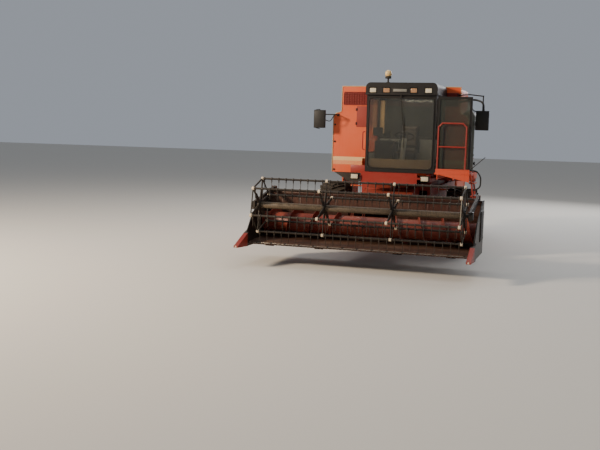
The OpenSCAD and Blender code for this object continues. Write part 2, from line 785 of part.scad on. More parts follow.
// Cab roof with rounded front corners and a recess for its lamps.
roof_x0 = cab_x0 - 20;
roof_x1 = cab_x1 + 20;
roof_y0 = cab_front - 60;
roof_r = 110;
module cab_roof() {
    color(black) difference() {
        translate([0, cab_rear + 15, 0]) rotate([90, 0, 0]) linear_extrude(cab_rear + 15 - roof_y0) union() {
            translate([roof_x0, cab_high]) square([roof_x1 - roof_x0, roof_top - cab_high - roof_r]);
            translate([roof_x0 + roof_r, cab_high]) square([roof_x1 - roof_x0 - 2 * roof_r, roof_top - cab_high]);
            for (x = [roof_x0 + roof_r, roof_x1 - roof_r]) translate([x, roof_top - roof_r]) circle(r = roof_r);
        }
        for (x = roof_lamp_x) box(x - roof_lamp_w / 2, x + roof_lamp_w / 2, roof_y0 - TINY, roof_y0 + roof_lamp_d,
            roof_lamp_z - roof_lamp_h / 2, roof_lamp_z + roof_lamp_h / 2);
    }
}

// Door in its open pose, swung forward out of the cab's left side.
hinge_z = [cab_low + 280, cab_high - 330];
leaf_x0 = hinge_x + 14;
leaf_x1 = hinge_x + door_w;
leaf_y0 = hinge_y - 7 - door_t / 2;
leaf_z0 = floor_z + 10;
leaf_z1 = cab_high - 20;
pane_edge = 45;
module cab_door() {
    y1 = leaf_y0 + door_t;
    color(black) {
        difference() {
            box(leaf_x0, leaf_x1, leaf_y0, y1, leaf_z0, leaf_z1);
            box(leaf_x0 + pane_edge, leaf_x1 - pane_edge, leaf_y0 - TINY, y1 + TINY,
                leaf_z0 + pane_edge, leaf_z1 - pane_edge);
        }
        for (z = hinge_z) difference() {
            union() {
                z_bar(z - 30, z + 30, hinge_x, hinge_y, 12);
                box(hinge_x, leaf_x0 + 20, hinge_y - 8, hinge_y + 8, z - 30, z + 30);
            }
            z_bar(z - 31, z + 31, hinge_x, hinge_y, 6 + shaft_fit);
        }
    }
}
module door_glass() {
    y = leaf_y0 + (door_t - pane_t) / 2;
    color(smoked)
        box(leaf_x0 + pane_edge, leaf_x1 - pane_edge, y, y + pane_t, leaf_z0 + pane_edge, leaf_z1 - pane_edge);
}

// Seat cushions.
seat_x = (cab_x0 + cab_x1) / 2;
seat_y = -480;
seat_z = floor_z + 360;
seat_w = 480;
module seat() {
    color([0.16, 0.15, 0.14]) {
        box(seat_x - seat_w / 2, seat_x + seat_w / 2, seat_y - 250, seat_y + 230, seat_z, seat_z + 120);
        box(seat_x - seat_w / 2 + 20, seat_x + seat_w / 2 - 20, seat_y + 130, seat_y + 230,
            seat_z + 119, seat_z + 650);
    }
}

// Seat pedestal, side console and steering column.
wheel_r = 205;
column_y = cab_front + 220;
wheel_at = [seat_x, seat_y - 370, floor_z + 760];
module console() {
    color(black) {
        box(seat_x - 180, seat_x + 180, seat_y - 180, seat_y + 200, floor_z, seat_z);
        box(cab_x0 + cab_wall + 30, seat_x - seat_w / 2 - 40, seat_y - 330, seat_y + 250, floor_z, floor_z + 620);
        bar([seat_x, column_y, floor_z + 20], wheel_at, 45);
        box(seat_x - 70, seat_x + 70, column_y - 70, column_y + 70, floor_z, floor_z + 60);
        translate(wheel_at) rotate([-25, 0, 0]) {
            rotate_extrude() translate([wheel_r, 0]) circle(r = 14, $fn = 24);
            translate([0, 0, -20]) cylinder(h = 40, r = 50);
            for (a = [90, 210, 330]) rotate(a) translate([0, -12, -6]) cube([wheel_r, 24, 12]);
        }
    }
}

// Operator's platform with its rails and its ladder.
rail_x0 = 1150;
rail_x1 = 1750;
hoop_y = deck_front + 15 + handrail_r + 3;
ladder_y0 = -1380;
ladder_y1 = -980;
ladder_low = 480;
ladder_out = 220;
step_count = 5;
module platform() {
    skirt = 15;
    deck_x0 = cab_x1 + 10;
    deck_rear = tank_front - 5;
    color(red) {
        box(deck_x0, deck_x1, cab_front, deck_rear, deck_z - 40, deck_z);
        box(rail_x0, deck_x1, deck_front, cab_front + TINY, deck_z - 40, deck_z);
        front_plate([[rail_x0 - 30, toe_z], [rail_x0 - 30, deck_z - 20], [deck_x1, cross_z0 + 40],
            [deck_x1, toe_z]],
            deck_front, deck_front + skirt);
        for (x = [rail_x0, (rail_x0 + deck_x1) / 2, deck_x1 - skirt])
            box(x, x + skirt, deck_front + TINY, deck_rear, cross_z1, deck_z - 39);
        bent_tube([[rail_x0, hoop_y, deck_z - TINY], [rail_x0, hoop_y, handrail_z - 80],
            [rail_x0 + 80, hoop_y, handrail_z], [rail_x1 - 80, hoop_y, handrail_z],
            [rail_x1, hoop_y, handrail_z - 80], [rail_x1, hoop_y, deck_z - TINY]], handrail_r);
        x_bar(rail_x0, rail_x1, hoop_y, (deck_z + handrail_z) / 2 + 30, handrail_r);
        for (y = [ladder_y0, ladder_y1])
            bar([deck_x1 + 15, y, deck_z - 20], [deck_x1 + ladder_out, y, ladder_low], 20);
        for (i = [0 : step_count - 1]) {
            f = (i + 0.3) / step_count;
            x = deck_x1 + ladder_out + (15 - ladder_out) * f;
            z = ladder_low + (deck_z - ladder_low) * f;
            box(x - 60, x + 60, ladder_y0, ladder_y1, z - 15, z + 15);
        }
        box(deck_x1 - TINY, deck_x1 + 30, ladder_y0 - 25, ladder_y1 + 25, deck_z - 40, deck_z);
    }
}

// Mirrors on bent arms from the tank extension and the tank's shoulder.
mirror_w = 280;
mirror_h = 420;
mirror_t = 50;
arm_r = 14;
foot_t = 8;
left_mirror = [2010, -1000, 3050];
right_mirror = [-1860, -420, 3020];
module mirrors() {
    color(black) {
        for (m = [left_mirror, right_mirror])
            box(m[0] - mirror_w / 2, m[0] + mirror_w / 2, m[1], m[1] + mirror_t,
                m[2] - mirror_h / 2, m[2] + mirror_h / 2);
        box(ext_half - 90, ext_half - 30, tank_front - foot_t, tank_front, ext_top - 220, ext_top - 160);
        box(-ext_half - 110, -ext_half - 50, tank_front - foot_t, tank_front, shoulder_z + 30, shoulder_z + 90);
        bent_tube([[ext_half - 60, tank_front - foot_t - 4, ext_top - 190],
            [ext_half + 230, tank_front - 240, ext_top - 180],
            [left_mirror[0], left_mirror[1] + 25, ext_top - 240],
            [left_mirror[0], left_mirror[1] + 25, left_mirror[2]]], arm_r);
        bent_tube([[-ext_half - 80, tank_front - foot_t, shoulder_z + 60],
            [-ext_half - 80, right_mirror[1] + 25, shoulder_z + 60],
            [right_mirror[0], right_mirror[1] + 25, shoulder_z + 60]], arm_r);
    }
}

// Roof lamps, head lamps, beacon and tail lamps.
roof_lamp_x = [-337, -34, 571, 892];
roof_lamp_w = 170;
roof_lamp_h = 125;
roof_lamp_d = 70;
roof_lamp_z = 3660;
lamp_x = [-700, 880];
lamp_z = 1750;
lamp_w = 180;
lamp_h = 120;
beacon_x = -45;
beacon_y = -1250;
beacon_r = 75;
beacon_z = roof_top + 205;
module lamps() {
    color([0.90, 0.85, 0.70]) for (x = roof_lamp_x)
        box(x - roof_lamp_w / 2, x + roof_lamp_w / 2, roof_y0 + 12, roof_y0 + roof_lamp_d,
            roof_lamp_z - roof_lamp_h / 2, roof_lamp_z + roof_lamp_h / 2);
    color([0.90, 0.85, 0.70]) for (x = lamp_x)
        box(x - lamp_w / 2, x + lamp_w / 2, panel_y - 85, panel_y - 15, lamp_z - lamp_h / 2, lamp_z + lamp_h / 2);
    color([0.90, 0.60, 0.20]) {
        z_bar(roof_top, beacon_z - 110, beacon_x, beacon_y, 22);
        z_bar(beacon_z - 111, beacon_z - 70, beacon_x, beacon_y, beacon_r - 8);
        z_bar(beacon_z - 71, beacon_z, beacon_x, beacon_y, beacon_r);
        translate([beacon_x, beacon_y, beacon_z]) sphere(r = beacon_r);
    }
    color([0.60, 0.10, 0.08]) both_sides()
        box(body_half - 200, body_half - 60, hood_rear, hood_rear + 50, hood_top - 620, hood_top - 540);
}

// Upright of the unloading auger, with its turntable flange and the brackets that hold it to the tank.
swivel_z = unload_z - unload_r - 90;
swivel_t = 25;
module unload_upright() {
    color(grey) {
        z_bar(tank_low + 60, swivel_z, unload_x, unload_y, unload_r);
        z_bar(swivel_z - swivel_t, swivel_z, unload_x, unload_y, unload_r + 12);
        z_bar(tank_low + 480, tank_low + 520, unload_x, unload_y, unload_r + 12);
        for (z = [tank_low + 150, swivel_z - 160])
            box(tank_left, unload_x, unload_y - 60, unload_y + 60, z, z + 60);
    }
}

// Swinging tube of the unloading auger, folded back along the tank, with a bent spout.
spout_drop = 260;
module unload_tube() {
    x1 = unload_x - unload_in;
    y1 = unload_y + unload_len - unload_r;
    color(grey) {
        z_bar(swivel_z + seat_gap, swivel_z + swivel_t, unload_x, unload_y, unload_r + 12);
        z_bar(swivel_z + swivel_t - TINY, unload_z, unload_x, unload_y, unload_r);
        translate([unload_x, unload_y, unload_z]) sphere(r = unload_r + bend_swell);
        bar([unload_x, unload_y, unload_z], [x1, y1, unload_z], unload_r);
        z_bar(unload_z - spout_drop, unload_z, x1, y1, spout_r);
        translate([x1, y1, unload_z]) sphere(r = spout_r);
    }
}

// Lift cylinders from the front axle to the feeder. Their rods' eyes are the open ends.
lift_dir = [0, lift_y1 - lift_y0, lift_z1 - lift_z0] / norm([0, lift_y1 - lift_y0, lift_z1 - lift_z0]);
barrel_len = 900;
barrel_start = 65;
module lift_barrels() {
    p = [lift_x, lift_y0, lift_z0];
    color(black) both_sides() difference() {
        union() {
            bar(p + 30 * lift_dir, p + (barrel_start + TINY) * lift_dir, lift_pin_r + 10);
            bar(p + barrel_start * lift_dir, p + barrel_len * lift_dir, barrel_r);
            x_bar(lift_x - lift_eye_w / 2, lift_x + lift_eye_w / 2, lift_y0, lift_z0, 40);
        }
        x_bar(lift_x - 60, lift_x + 60, lift_y0, lift_z0, lift_pin_r + shaft_fit);
        bar(p + 120 * lift_dir, p + (barrel_len + TINY) * lift_dir, lift_rod_r + shaft_fit);
    }
}
module lift_rods() {
    p = [lift_x, lift_y0, lift_z0];
    q = [lift_x, lift_y1, lift_z1];
    color(steel) both_sides() difference() {
        union() {
            bar(p + 200 * lift_dir, q, lift_rod_r);
            x_bar(lift_x - lift_eye_w / 2, lift_x + lift_eye_w / 2, lift_y1, lift_z1, 42);
        }
        x_bar(lift_x - 60, lift_x + 60, lift_y1, lift_z1, lift_pin_r + 2);
    }
}

// Feeder house, hollow from the header to the threshing body.
feeder_rear = feeder_pivot_y + 60;
feeder_low_rear = 1050;
feeder_low_front = 420;
feeder_top_rear = feeder_pivot_z + 60;
feeder_top_front = 1120;
module feeder_house() {
    t = feeder_wall;
    h = feeder_half;
    outer = [[feeder_rear, feeder_low_rear], [feeder_rear, feeder_top_rear],
        [feeder_pivot_y - 60, feeder_top_rear],
        [feeder_front, feeder_top_front], [feeder_front, feeder_low_front]];
    inner = [[feeder_rear + TINY, feeder_low_rear + t], [feeder_rear + TINY, feeder_top_rear - t],
        [feeder_pivot_y - 60, feeder_top_rear - t], [feeder_front - TINY, feeder_top_front - t],
        [feeder_front - TINY, feeder_low_front + t]];
    color(red) {
        difference() {
            side_plate(outer, -h, h);
            side_plate(inner, -h + t, h - t);
        }
        both_sides() x_bar(h - TINY, h + 20 + bracket_t, feeder_pivot_y, feeder_pivot_z, trunnion_r);
        both_sides() feeder_lugs();
    }
}

// Lugs below the feeder that the lift rods push on.
module feeder_lugs() {
    slope = (feeder_low_rear - feeder_low_front) / (feeder_rear - feeder_front);
    z_under = feeder_low_rear + slope * (lift_y1 - feeder_rear);
    for (t = [-1, 1]) {
        x = lift_x + t * (lift_eye_w / 2 + run_gap + lug_t / 2);
        box(x - lug_t / 2, x + lug_t / 2, lift_y1 - 45, lift_y1 + 45, lift_z1 - 30, z_under + 25);
        x_bar(x - lug_t / 2, x + lug_t / 2, lift_y1, lift_z1 - 20, 45);
    }
}

// Header's frame: back sheet with its beams and posts, and the reel's brackets.
sheet_t = 12;
end_t = 20;
back_y = auger_y + flight_r + 20;
trough_r = flight_r + 20;
reel_pivot_y = back_y - 20;
reel_pivot_z = header_top + 70;
throat_half = feeder_half - 40;
trough_top = 90;
sheet_lap = 20;
divider_w = 90;
post_w = 60;
sill_z0 = auger_z - 330;
sill_z1 = auger_z - 230;
beam_h = 100;
module header_frame() {
    h = header_half - end_t;
    color(red) {
        difference() {
            union() {
                box(-h, h, back_y, back_y + sheet_t, auger_z - trough_top - sheet_lap, header_top);
                box(-h, h, back_y, feeder_front, header_top - beam_h, header_top);
                box(-h, h, back_y, feeder_front, sill_z0, sill_z1);
                both_sides() for (x = [throat_half, h - post_w])
                    box(x, x + post_w, back_y + TINY, feeder_front, sill_z1 - TINY, header_top - beam_h + TINY);
            }
            throat();
            header_seams();
        }
        both_sides() reel_bracket();
    }
}

// Fine seams where the frame's top, its two sides and the sill are bolted together.
module header_seams() {
    y0 = back_y - TINY;
    y1 = feeder_front + TINY;
    box(-header_half, header_half, y0, y1, throat_z1 - TINY, throat_z1 - TINY + seat_gap);
    both_sides() box(throat_half - seat_gap, throat_half, y0, y1, sill_z0 - TINY, throat_z0 + TINY);
}

// End sheets with the divider ahead of each, and the drive's cover on the left one.
drive_cover_t = 20;
module header_ends() {
    color(red) both_sides() {
        difference() {
            end_sheet();
            x_bar(header_half - end_t - TINY, header_half + TINY, auger_y, auger_z, auger_shaft_r + shaft_fit);
        }
        divider();
    }
    color(black) box(header_half - TINY, header_half + drive_cover_t, back_y - 500, back_y - 60,
        auger_z - 150, header_top - 170);
}

// Opening in the header's back for the crop.
throat_z0 = feeder_low_front + 80;
throat_z1 = feeder_top_front - 60;
module throat() {
    box(-throat_half, throat_half, auger_y - 100, feeder_front + TINY, throat_z0, throat_z1);
}

// Header's floor: trough, sloping floor and cutter bar with its fingers.
module header_floor() {
    h = header_half - end_t;
    color(red) difference() {
        union() {
            trough();
            box(-h, h, slope_y0, auger_y + TINY, knife_z, knife_z + 50);
        }
        throat();
    }
    color(black) {
        box(-h, h, knife_y + 100, slope_y0 + TINY, knife_z + 8, knife_z + 42);
        for (x = [-h + 40 : 76.2 : h - 30]) side_plate([[knife_y, knife_z + 20], [knife_y + 101, knife_z + 10],
            [knife_y + 101, knife_z + 40]], x - 10, x + 10);
    }
}

// Curved trough under the header auger, from the back sheet to the floor.
slope_y0 = knife_y + 150;
slope_y1 = knife_y + 700;
module trough() {
    h = header_half - end_t;
    low = auger_z - trough_r - sheet_t;
    intersection() {
        difference() {
            x_bar(-h, h, auger_y, auger_z, trough_r + sheet_t);
            x_bar(-h - TINY, h + TINY, auger_y, auger_z, trough_r);
        }
        box(-h, h, auger_y, back_y - seat_gap, low, auger_z - trough_top);
    }
    box(-h, h, slope_y1, auger_y + TINY, low, auger_z - trough_r);
    side_plate([[slope_y0, knife_z + 30], [slope_y0, knife_z + 50], [slope_y1 + TINY, auger_z - trough_r],
        [slope_y1 + TINY, low]], -h, h);
}

module end_sheet() {
    side_plate([[feeder_front, knife_z - 40], [feeder_front, header_top], [back_y - 120, header_top],
        [knife_y + 350, 1000], [knife_y - 40, 560], [knife_y - 40, knife_z - 40]],
        header_half - end_t, header_half);
}

// Pointed divider ahead of an end sheet, notched for the cutter bar's end.
divider_l = 160;
divider_top = 700;
tip_z = 400;
module divider() {
    x1 = header_half + divider_w / 2 - end_t;
    difference() {
        side_plate([[knife_y + divider_l, divider_top], [knife_y - 40, divider_top - 60], [divider_tip, tip_z + 30],
            [divider_tip, tip_z], [knife_y + divider_l, knife_z - 40]], x1 - divider_w, x1);
        box(x1 - divider_w - TINY, header_half - end_t, knife_y - seat_gap, knife_y + divider_l + TINY,
            knife_z - 40 - TINY, divider_top + TINY);
    }
}

// Plates on the top beam that carry the reel's arms.
module reel_bracket() {
    for (x = [arm_x - arm_w / 2 - run_gap - 15, arm_x + arm_w / 2 + run_gap]) difference() {
        union() {
            box(x, x + 15, reel_pivot_y - 45, reel_pivot_y + 45, header_top - TINY, reel_pivot_z);
            x_bar(x, x + 15, reel_pivot_y, reel_pivot_z, 45);
            box(x, x + 15, reel_pivot_y, back_y + 45, header_top - TINY, header_top + 20);
        }
        x_bar(x - TINY, x + 15 + TINY, reel_pivot_y, reel_pivot_z, 16 + shaft_fit);
    }
}

// Header auger: tube, end shafts and flights.
auger_shaft_r = 30;
flight_step = 340;
module header_auger() {
    h = header_half - end_t - run_gap;
    color(red) {
        difference() {
            x_bar(-h, h, auger_y, auger_z, auger_tube_r);
            x_bar(-h + 20, h - 20, auger_y, auger_z, auger_tube_r - 10);
        }
        x_bar(-header_half + 2, header_half - 2, auger_y, auger_z, auger_shaft_r);
        for (x = [throat_half + 60 : flight_step : h - 20])
            both_sides() x_bar(x, x + 12, auger_y, auger_z, flight_r);
        for (a = [0 : 60 : 300], x = [-360 + a, -320 + a])
            translate([x, auger_y, auger_z]) rotate([a * 1.5, 0, 0]) cylinder(h = flight_r, r = 9);
    }
}

// Reel arms with the bored blocks that carry the reel's shaft.
arm_x = header_half - 120;
arm_w = 50;
reel_shaft_r = 30;
module reel_arms() {
    color(black) {
        both_sides() difference() {
            union() {
                side_plate([[reel_pivot_y + 40, reel_pivot_z - 45], [reel_pivot_y + 40, reel_pivot_z + 45],
                    [reel_y - 60, reel_z + 70], [reel_y - 60, reel_z - 60], [reel_y + 60, reel_z - 60]],
                    arm_x - arm_w / 2, arm_x + arm_w / 2);
                x_bar(arm_x - arm_w / 2 - run_gap - 15, arm_x + arm_w / 2 + run_gap + 15,
                    reel_pivot_y, reel_pivot_z, 16);
            }
            x_bar(arm_x - 60, arm_x + 60, reel_y, reel_z, reel_shaft_r + shaft_fit);
        }
        x_bar(-arm_x, arm_x, reel_pivot_y - 150, reel_pivot_z - 35, 22);
    }
}

// Reel: middle tube, end shafts and four spiders, the outer two with a six-sided rim.
spider_out = reel_half - 30;
spider_x = [-spider_out, -spider_out / 3, spider_out / 3, spider_out];
spider_t = 14;
boss_l = 40;
rim_bar_t = 8;
rim_bar_h = 30;
function bat_angle(i) = bat_phase + 360 / bat_count * i;
function bat_y(i) = reel_y - reel_r * cos(bat_angle(i));
function bat_z(i) = reel_z + reel_r * sin(bat_angle(i));
module reel() {
    color(black) difference() {
        union() {
            x_bar(-reel_half, reel_half, reel_y, reel_z, reel_tube_r);
            x_bar(-arm_x - arm_w / 2, arm_x + arm_w / 2, reel_y, reel_z, reel_shaft_r);
            for (x = spider_x) {
                x_bar(x - spider_t, x + spider_t, reel_y, reel_z, 130);
                for (i = [0 : bat_count - 1]) {
                    translate([x - spider_t / 2, reel_y, reel_z]) rotate([-bat_angle(i), 0, 0])
                        translate([0, -reel_r, -25]) cube([spider_t, reel_r, 50]);
                    if (abs(x) == spider_out) translate([x - rim_bar_t / 2, bat_y(i), bat_z(i)])
                        rotate([-bat_angle(i) - 120, 0, 0]) translate([0, -reel_r, -rim_bar_h / 2])
                            cube([rim_bar_t, reel_r, rim_bar_h]);
                    x_bar(x - boss_l / 2, x + boss_l / 2, bat_y(i), bat_z(i), bat_r + 14);
                }
            }
        }
        for (i = [0 : bat_count - 1])
            x_bar(-reel_half - 50, reel_half + 50, bat_y(i), bat_z(i), bat_r + shaft_fit);
    }
}

// Bat with its tines, which hang straight down at every turn of the reel.
tine_r = 5;
module reel_bat(i) {
    first = -reel_half + 75;
    color(black) {
        x_bar(-reel_half, reel_half, bat_y(i), bat_z(i), bat_r);
        for (x = [first : tine_step : reel_half - 40])
            if (min([for (s = spider_x) abs(x - s)]) > boss_l / 2 + 20)
                z_bar(bat_z(i) - tine_len - bat_r, bat_z(i), x, bat_y(i), tine_r);
    }
}

placed() main_frame();
placed() front_axle();
placed() front_tyre();  // front_tyre_left
placed() front_rim();  // front_rim_left
placed() mirror([1, 0, 0]) front_tyre();  // front_tyre_right
placed() mirror([1, 0, 0]) front_rim();  // front_rim_right
placed() rear_axle();
placed() knuckle();  // knuckle_left
placed() mirror([1, 0, 0]) knuckle();  // knuckle_right
placed() tie_rod();
placed() rear_tyre();  // rear_tyre_left
placed() rear_rim();  // rear_rim_left
placed() mirror([1, 0, 0]) rear_tyre();  // rear_tyre_right
placed() mirror([1, 0, 0]) rear_rim();  // rear_rim_right
placed() separator_body();
placed() grain_tank();
placed() tank_extension();
placed() tank_auger();
placed() side_shields();
placed() engine();
placed() engine_hood();
placed() rotary_screen();
placed() straw_hood();
placed() fuel_tank();
placed() grain_elevator();
placed() cab_shell();
placed() cab_roof();
placed() cab_door();
placed() door_glass();
placed() cab_glass();
placed() seat();
placed() console();
placed() platform();
placed() mirrors();
placed() lamps();
placed() unload_upright();
placed() unload_tube();
placed() lift_barrels();
placed() lift_rods();
placed() feeder_house();
placed() header_frame();
placed() header_ends();
placed() header_floor();
placed() header_auger();
placed() reel_arms();
placed() reel();
placed() reel_bat(0);  // reel_bat_1
placed() reel_bat(1);  // reel_bat_2
placed() reel_bat(2);  // reel_bat_3
placed() reel_bat(3);  // reel_bat_4
placed() reel_bat(4);  // reel_bat_5
placed() reel_bat(5);  // reel_bat_6
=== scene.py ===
# %% [markdown]
# # Dressing a combine harvester
# The solids of the machine come in as a fixed frame. This lesson gives them paint, rubber and glass,
# and adds the pieces that are too fine for the solids: tread, tines, seals, bolts, louvres and trim.

import math

import bpy
from mathutils import Matrix, Vector


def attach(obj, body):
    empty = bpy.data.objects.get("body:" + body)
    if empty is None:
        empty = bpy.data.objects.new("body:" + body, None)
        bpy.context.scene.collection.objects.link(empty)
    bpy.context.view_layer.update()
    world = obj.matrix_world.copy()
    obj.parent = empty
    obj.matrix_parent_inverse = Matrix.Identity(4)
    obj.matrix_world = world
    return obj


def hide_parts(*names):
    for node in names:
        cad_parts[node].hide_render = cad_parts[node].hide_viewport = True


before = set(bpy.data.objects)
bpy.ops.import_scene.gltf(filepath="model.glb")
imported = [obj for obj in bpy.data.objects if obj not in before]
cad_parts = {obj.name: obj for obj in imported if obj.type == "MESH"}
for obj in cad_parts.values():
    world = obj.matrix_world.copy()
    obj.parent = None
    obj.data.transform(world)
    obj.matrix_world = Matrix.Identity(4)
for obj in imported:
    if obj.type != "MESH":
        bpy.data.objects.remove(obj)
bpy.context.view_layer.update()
print("nodes in the frame:", len(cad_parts))

# %% [markdown]
# ## Measures
# The solids were drawn in millimetres from the front axle, which stands 325 mm ahead of the middle of
# the finished model. Working in the same numbers keeps each new piece on what carries it, so two small
# helpers turn them into Blender's metres.

# %% Millimetres from the front axle to metres
AXLE_Y = -0.325


def spot(x, y, z):
    """A place in metres from millimetres that count from the front axle."""
    return Vector((x / 1000, y / 1000 + AXLE_Y, z / 1000))


def clear():
    """Nothing stays selected, so that an operator acts only on what comes next."""
    if bpy.context.object and bpy.context.object.mode != "OBJECT":
        bpy.ops.object.mode_set(mode="OBJECT")
    bpy.ops.object.select_all(action="DESELECT")


print("front axle at", tuple(spot(0, 0, 0)))

# %% [markdown]
# ## Camera and light
# The photo was taken from the machine's left front with a normal lens, some twenty metres away. The
# camera was fitted to the edges of the cab, tank and reel. One warm lamp on the picture's left stands
# for the low sun, and three wide ones fill the shadows. A small one lights the cab from its roof.

# %% Camera
YAW, PITCH, ROLL = 0.317, -0.11, 0.026
CAMERA_PLACE, FOCAL_LENGTH, SENSOR_WIDTH, SIGHT_END = (4189, -20130, 2752), 51.74, 36, 200
bpy.ops.object.camera_add()
camera = bpy.context.object
camera.name = "camera"
right = Vector((math.cos(YAW), math.sin(YAW), 0))
forward = Vector((-math.sin(YAW) * math.cos(PITCH), math.cos(YAW) * math.cos(PITCH), math.sin(PITCH)))
upward = right.cross(forward)
rolled_right = math.cos(ROLL) * right + math.sin(ROLL) * upward
rolled_up = -math.sin(ROLL) * right + math.cos(ROLL) * upward
camera.matrix_world = Matrix((rolled_right, rolled_up, -forward)).transposed().to_4x4()
camera.location = spot(*CAMERA_PLACE)
camera.data.lens = FOCAL_LENGTH
camera.data.sensor_width = SENSOR_WIDTH
camera.data.clip_end = SIGHT_END
bpy.context.scene.camera = camera
print("camera at", tuple(round(c, 2) for c in camera.location))


# %% Lamps and floor
def lamp(name, place, aim, size, power, colour):
    """A square soft lamp that shines from a place towards an aim."""
    clear()
    bpy.ops.object.light_add(type="AREA", location=place)
    light = bpy.context.object
    light.name = name
    light.data.size = size
    light.data.energy = power
    light.data.color = colour
    light.rotation_euler = (Vector(aim) - Vector(place)).to_track_quat("-Z", "Y").to_euler()


lamp("key_lamp", (-14, -14, 8.5), (0, -1, 1.8), 2.5, 5200, (1.0, 0.84, 0.66))
lamp("fill_lamp", (12, -14, 6), (0, 0, 1.8), 9, 260, (0.86, 0.92, 1.0))
lamp("top_lamp", (0, 3, 13), (0, 0, 1), 10, 700, (0.95, 0.97, 1.0))
lamp("rear_lamp", (5, 14, 8), (0, 1, 1.5), 8, 1100, (0.95, 0.96, 1.0))
lamp("cab_lamp", spot(294, -800, 3520), spot(294, -700, 2000), 0.7, 9, (1.0, 0.95, 0.85))

world = bpy.data.worlds.new("pale_room")
bpy.context.scene.world = world
world.use_nodes = True
sky = world.node_tree.nodes["Background"]
sky.inputs["Color"].default_value = (0.72, 0.78, 0.88, 1)
sky.inputs["Strength"].default_value = 0.42

clear()
bpy.ops.mesh.primitive_grid_add(x_subdivisions=8, y_subdivisions=8, size=160)
floor = bpy.context.object
floor.name = "floor"
print("lamps and floor are set")

# %% [markdown]
# ## Finishes
# Paint on a working machine is never one colour. It fades in patches, dust lies on what faces up and
# round the lower parts, and streaks run down. Those three belong to nearly every finish here, so they
# are one shader group, built once, that each material places with its own colours and amounts.


# %% Helpers for colours and nodes
def tone(red, green, blue):
    """A colour as a picture editor names it, in the linear values that shaders work with."""
    def linear(value):
        value /= 255
        return value / 12.92 if value <= 0.04045 else ((value + 0.055) / 1.055) ** 2.4
    return linear(red), linear(green), linear(blue), 1.0


def new_group(name, inputs, outputs):
    """A shader group with named sockets. Each input is (name, kind, first value)."""
    group = bpy.data.node_groups.new(name, "ShaderNodeTree")
    for socket, kind, value in inputs:
        made = group.interface.new_socket(name=socket, in_out="INPUT", socket_type="NodeSocket" + kind)
        made.default_value = value
    for socket, kind in outputs:
        group.interface.new_socket(name=socket, in_out="OUTPUT", socket_type="NodeSocket" + kind)
    return group, group.nodes.new("NodeGroupInput").outputs, group.nodes.new("NodeGroupOutput").inputs


def add(tree, kind, **settings):
    """A node of a kind with its settings, and its sockets' values under their names."""
    node = tree.nodes.new("ShaderNode" + kind)
    for name, value in settings.items():
        if name in node.inputs:
            node.inputs[name].default_value = value
        else:
            setattr(node, name, value)
    return node


def noise(tree, place, scale, detail=3.0, roughness=0.6):
    """Cloudy noise at a scale in cells a metre, read at a place."""
    node = add(tree, "TexNoise", Scale=scale, Detail=detail, Roughness=roughness)
    tree.links.new(place, node.inputs["Vector"])
    return node.outputs["Fac"]


def axes(tree, vector):
    """The three outputs X, Y and Z of a vector."""
    node = add(tree, "SeparateXYZ")
    tree.links.new(vector, node.inputs["Vector"])
    return node.outputs


def span(tree, value, low, high, to_low=0.0, to_high=1.0):
    """A value's span from low to high is spread over another span, and held at its ends."""
    node = add(tree, "MapRange", **{"From Min": low, "From Max": high, "To Min": to_low, "To Max": to_high})
    tree.links.new(value, node.inputs["Value"])
    return node.outputs["Result"]


def sums(tree, operation, *values):
    """A sum, product or other operation on sockets and numbers."""
    node = add(tree, "Math", operation=operation)
    for socket, value in zip(node.inputs, values):
        if isinstance(value, (int, float)):
            socket.default_value = value
        else:
            tree.links.new(value, socket)
    return node.outputs["Value"]


def mixed(tree, share, first, second):
    """Two colours, mixed by a share."""
    node = add(tree, "Mix", data_type="RGBA")
    for index, value in ((0, share), (6, first), (7, second)):
        if isinstance(value, (int, float, tuple)):
            node.inputs[index].default_value = value
        else:
            tree.links.new(value, node.inputs[index])
    return node.outputs[2]


print("sunlit paint in linear values:", [round(v, 3) for v in tone(225, 110, 65)])

# %% Shader group for field wear
wear, wear_in, wear_out = new_group(
    "field_wear",
    [("Paint", "Color", (0.5, 0.1, 0.05, 1)), ("Dust", "Color", tone(176, 150, 112)),
     ("Dust Amount", "Float", 0.4), ("Fading", "Float", 0.2), ("Streaks", "Float", 0.2),
     ("Shine", "Float", 0.35)],
    [("Color", "Color"), ("Roughness", "Float"), ("Height", "Float")])
PATCH_SCALE, SPECK_SCALE, GRIT_SCALE, STREAK_SCALE, STREAK_STRETCH = 1.1, 46.0, 210.0, 1.6, (9.0, 9.0, 0.6)
places = add(wear, "TexCoord").outputs["Object"]
patches = noise(wear, places, PATCH_SCALE, 4.0)
specks = noise(wear, places, SPECK_SCALE, 4.0, 0.7)
grit = noise(wear, places, GRIT_SCALE, 2.0)
streak_map = add(wear, "Mapping", Scale=STREAK_STRETCH)
wear.links.new(places, streak_map.inputs["Vector"])
streaks = noise(wear, streak_map.outputs["Vector"], STREAK_SCALE, 5.0, 0.65)
facing = axes(wear, add(wear, "NewGeometry").outputs["Normal"])["Z"]
upward_dust = span(wear, facing, 0.25, 1.0)
low_dust = span(wear, axes(wear, places)["Z"], 0.2, 2.4, 0.75, 0.1)
lying = sums(wear, "MAXIMUM", sums(wear, "MULTIPLY", upward_dust, 0.9), low_dust)
broken = sums(wear, "MULTIPLY", span(wear, specks, 0.35, 0.62), span(wear, patches, 0.3, 0.65, 0.45, 1.0))
dusty = sums(wear, "MULTIPLY", sums(wear, "MULTIPLY", lying, broken), wear_in["Dust Amount"])
dusty = sums(wear, "MINIMUM", dusty, 0.92)
faded = sums(wear, "MULTIPLY", span(wear, patches, 0.35, 0.75), wear_in["Fading"])
streaked = sums(wear, "MULTIPLY", span(wear, streaks, 0.52, 0.75), wear_in["Streaks"])
pale = mixed(wear, 0.35, wear_in["Paint"], tone(205, 185, 165))
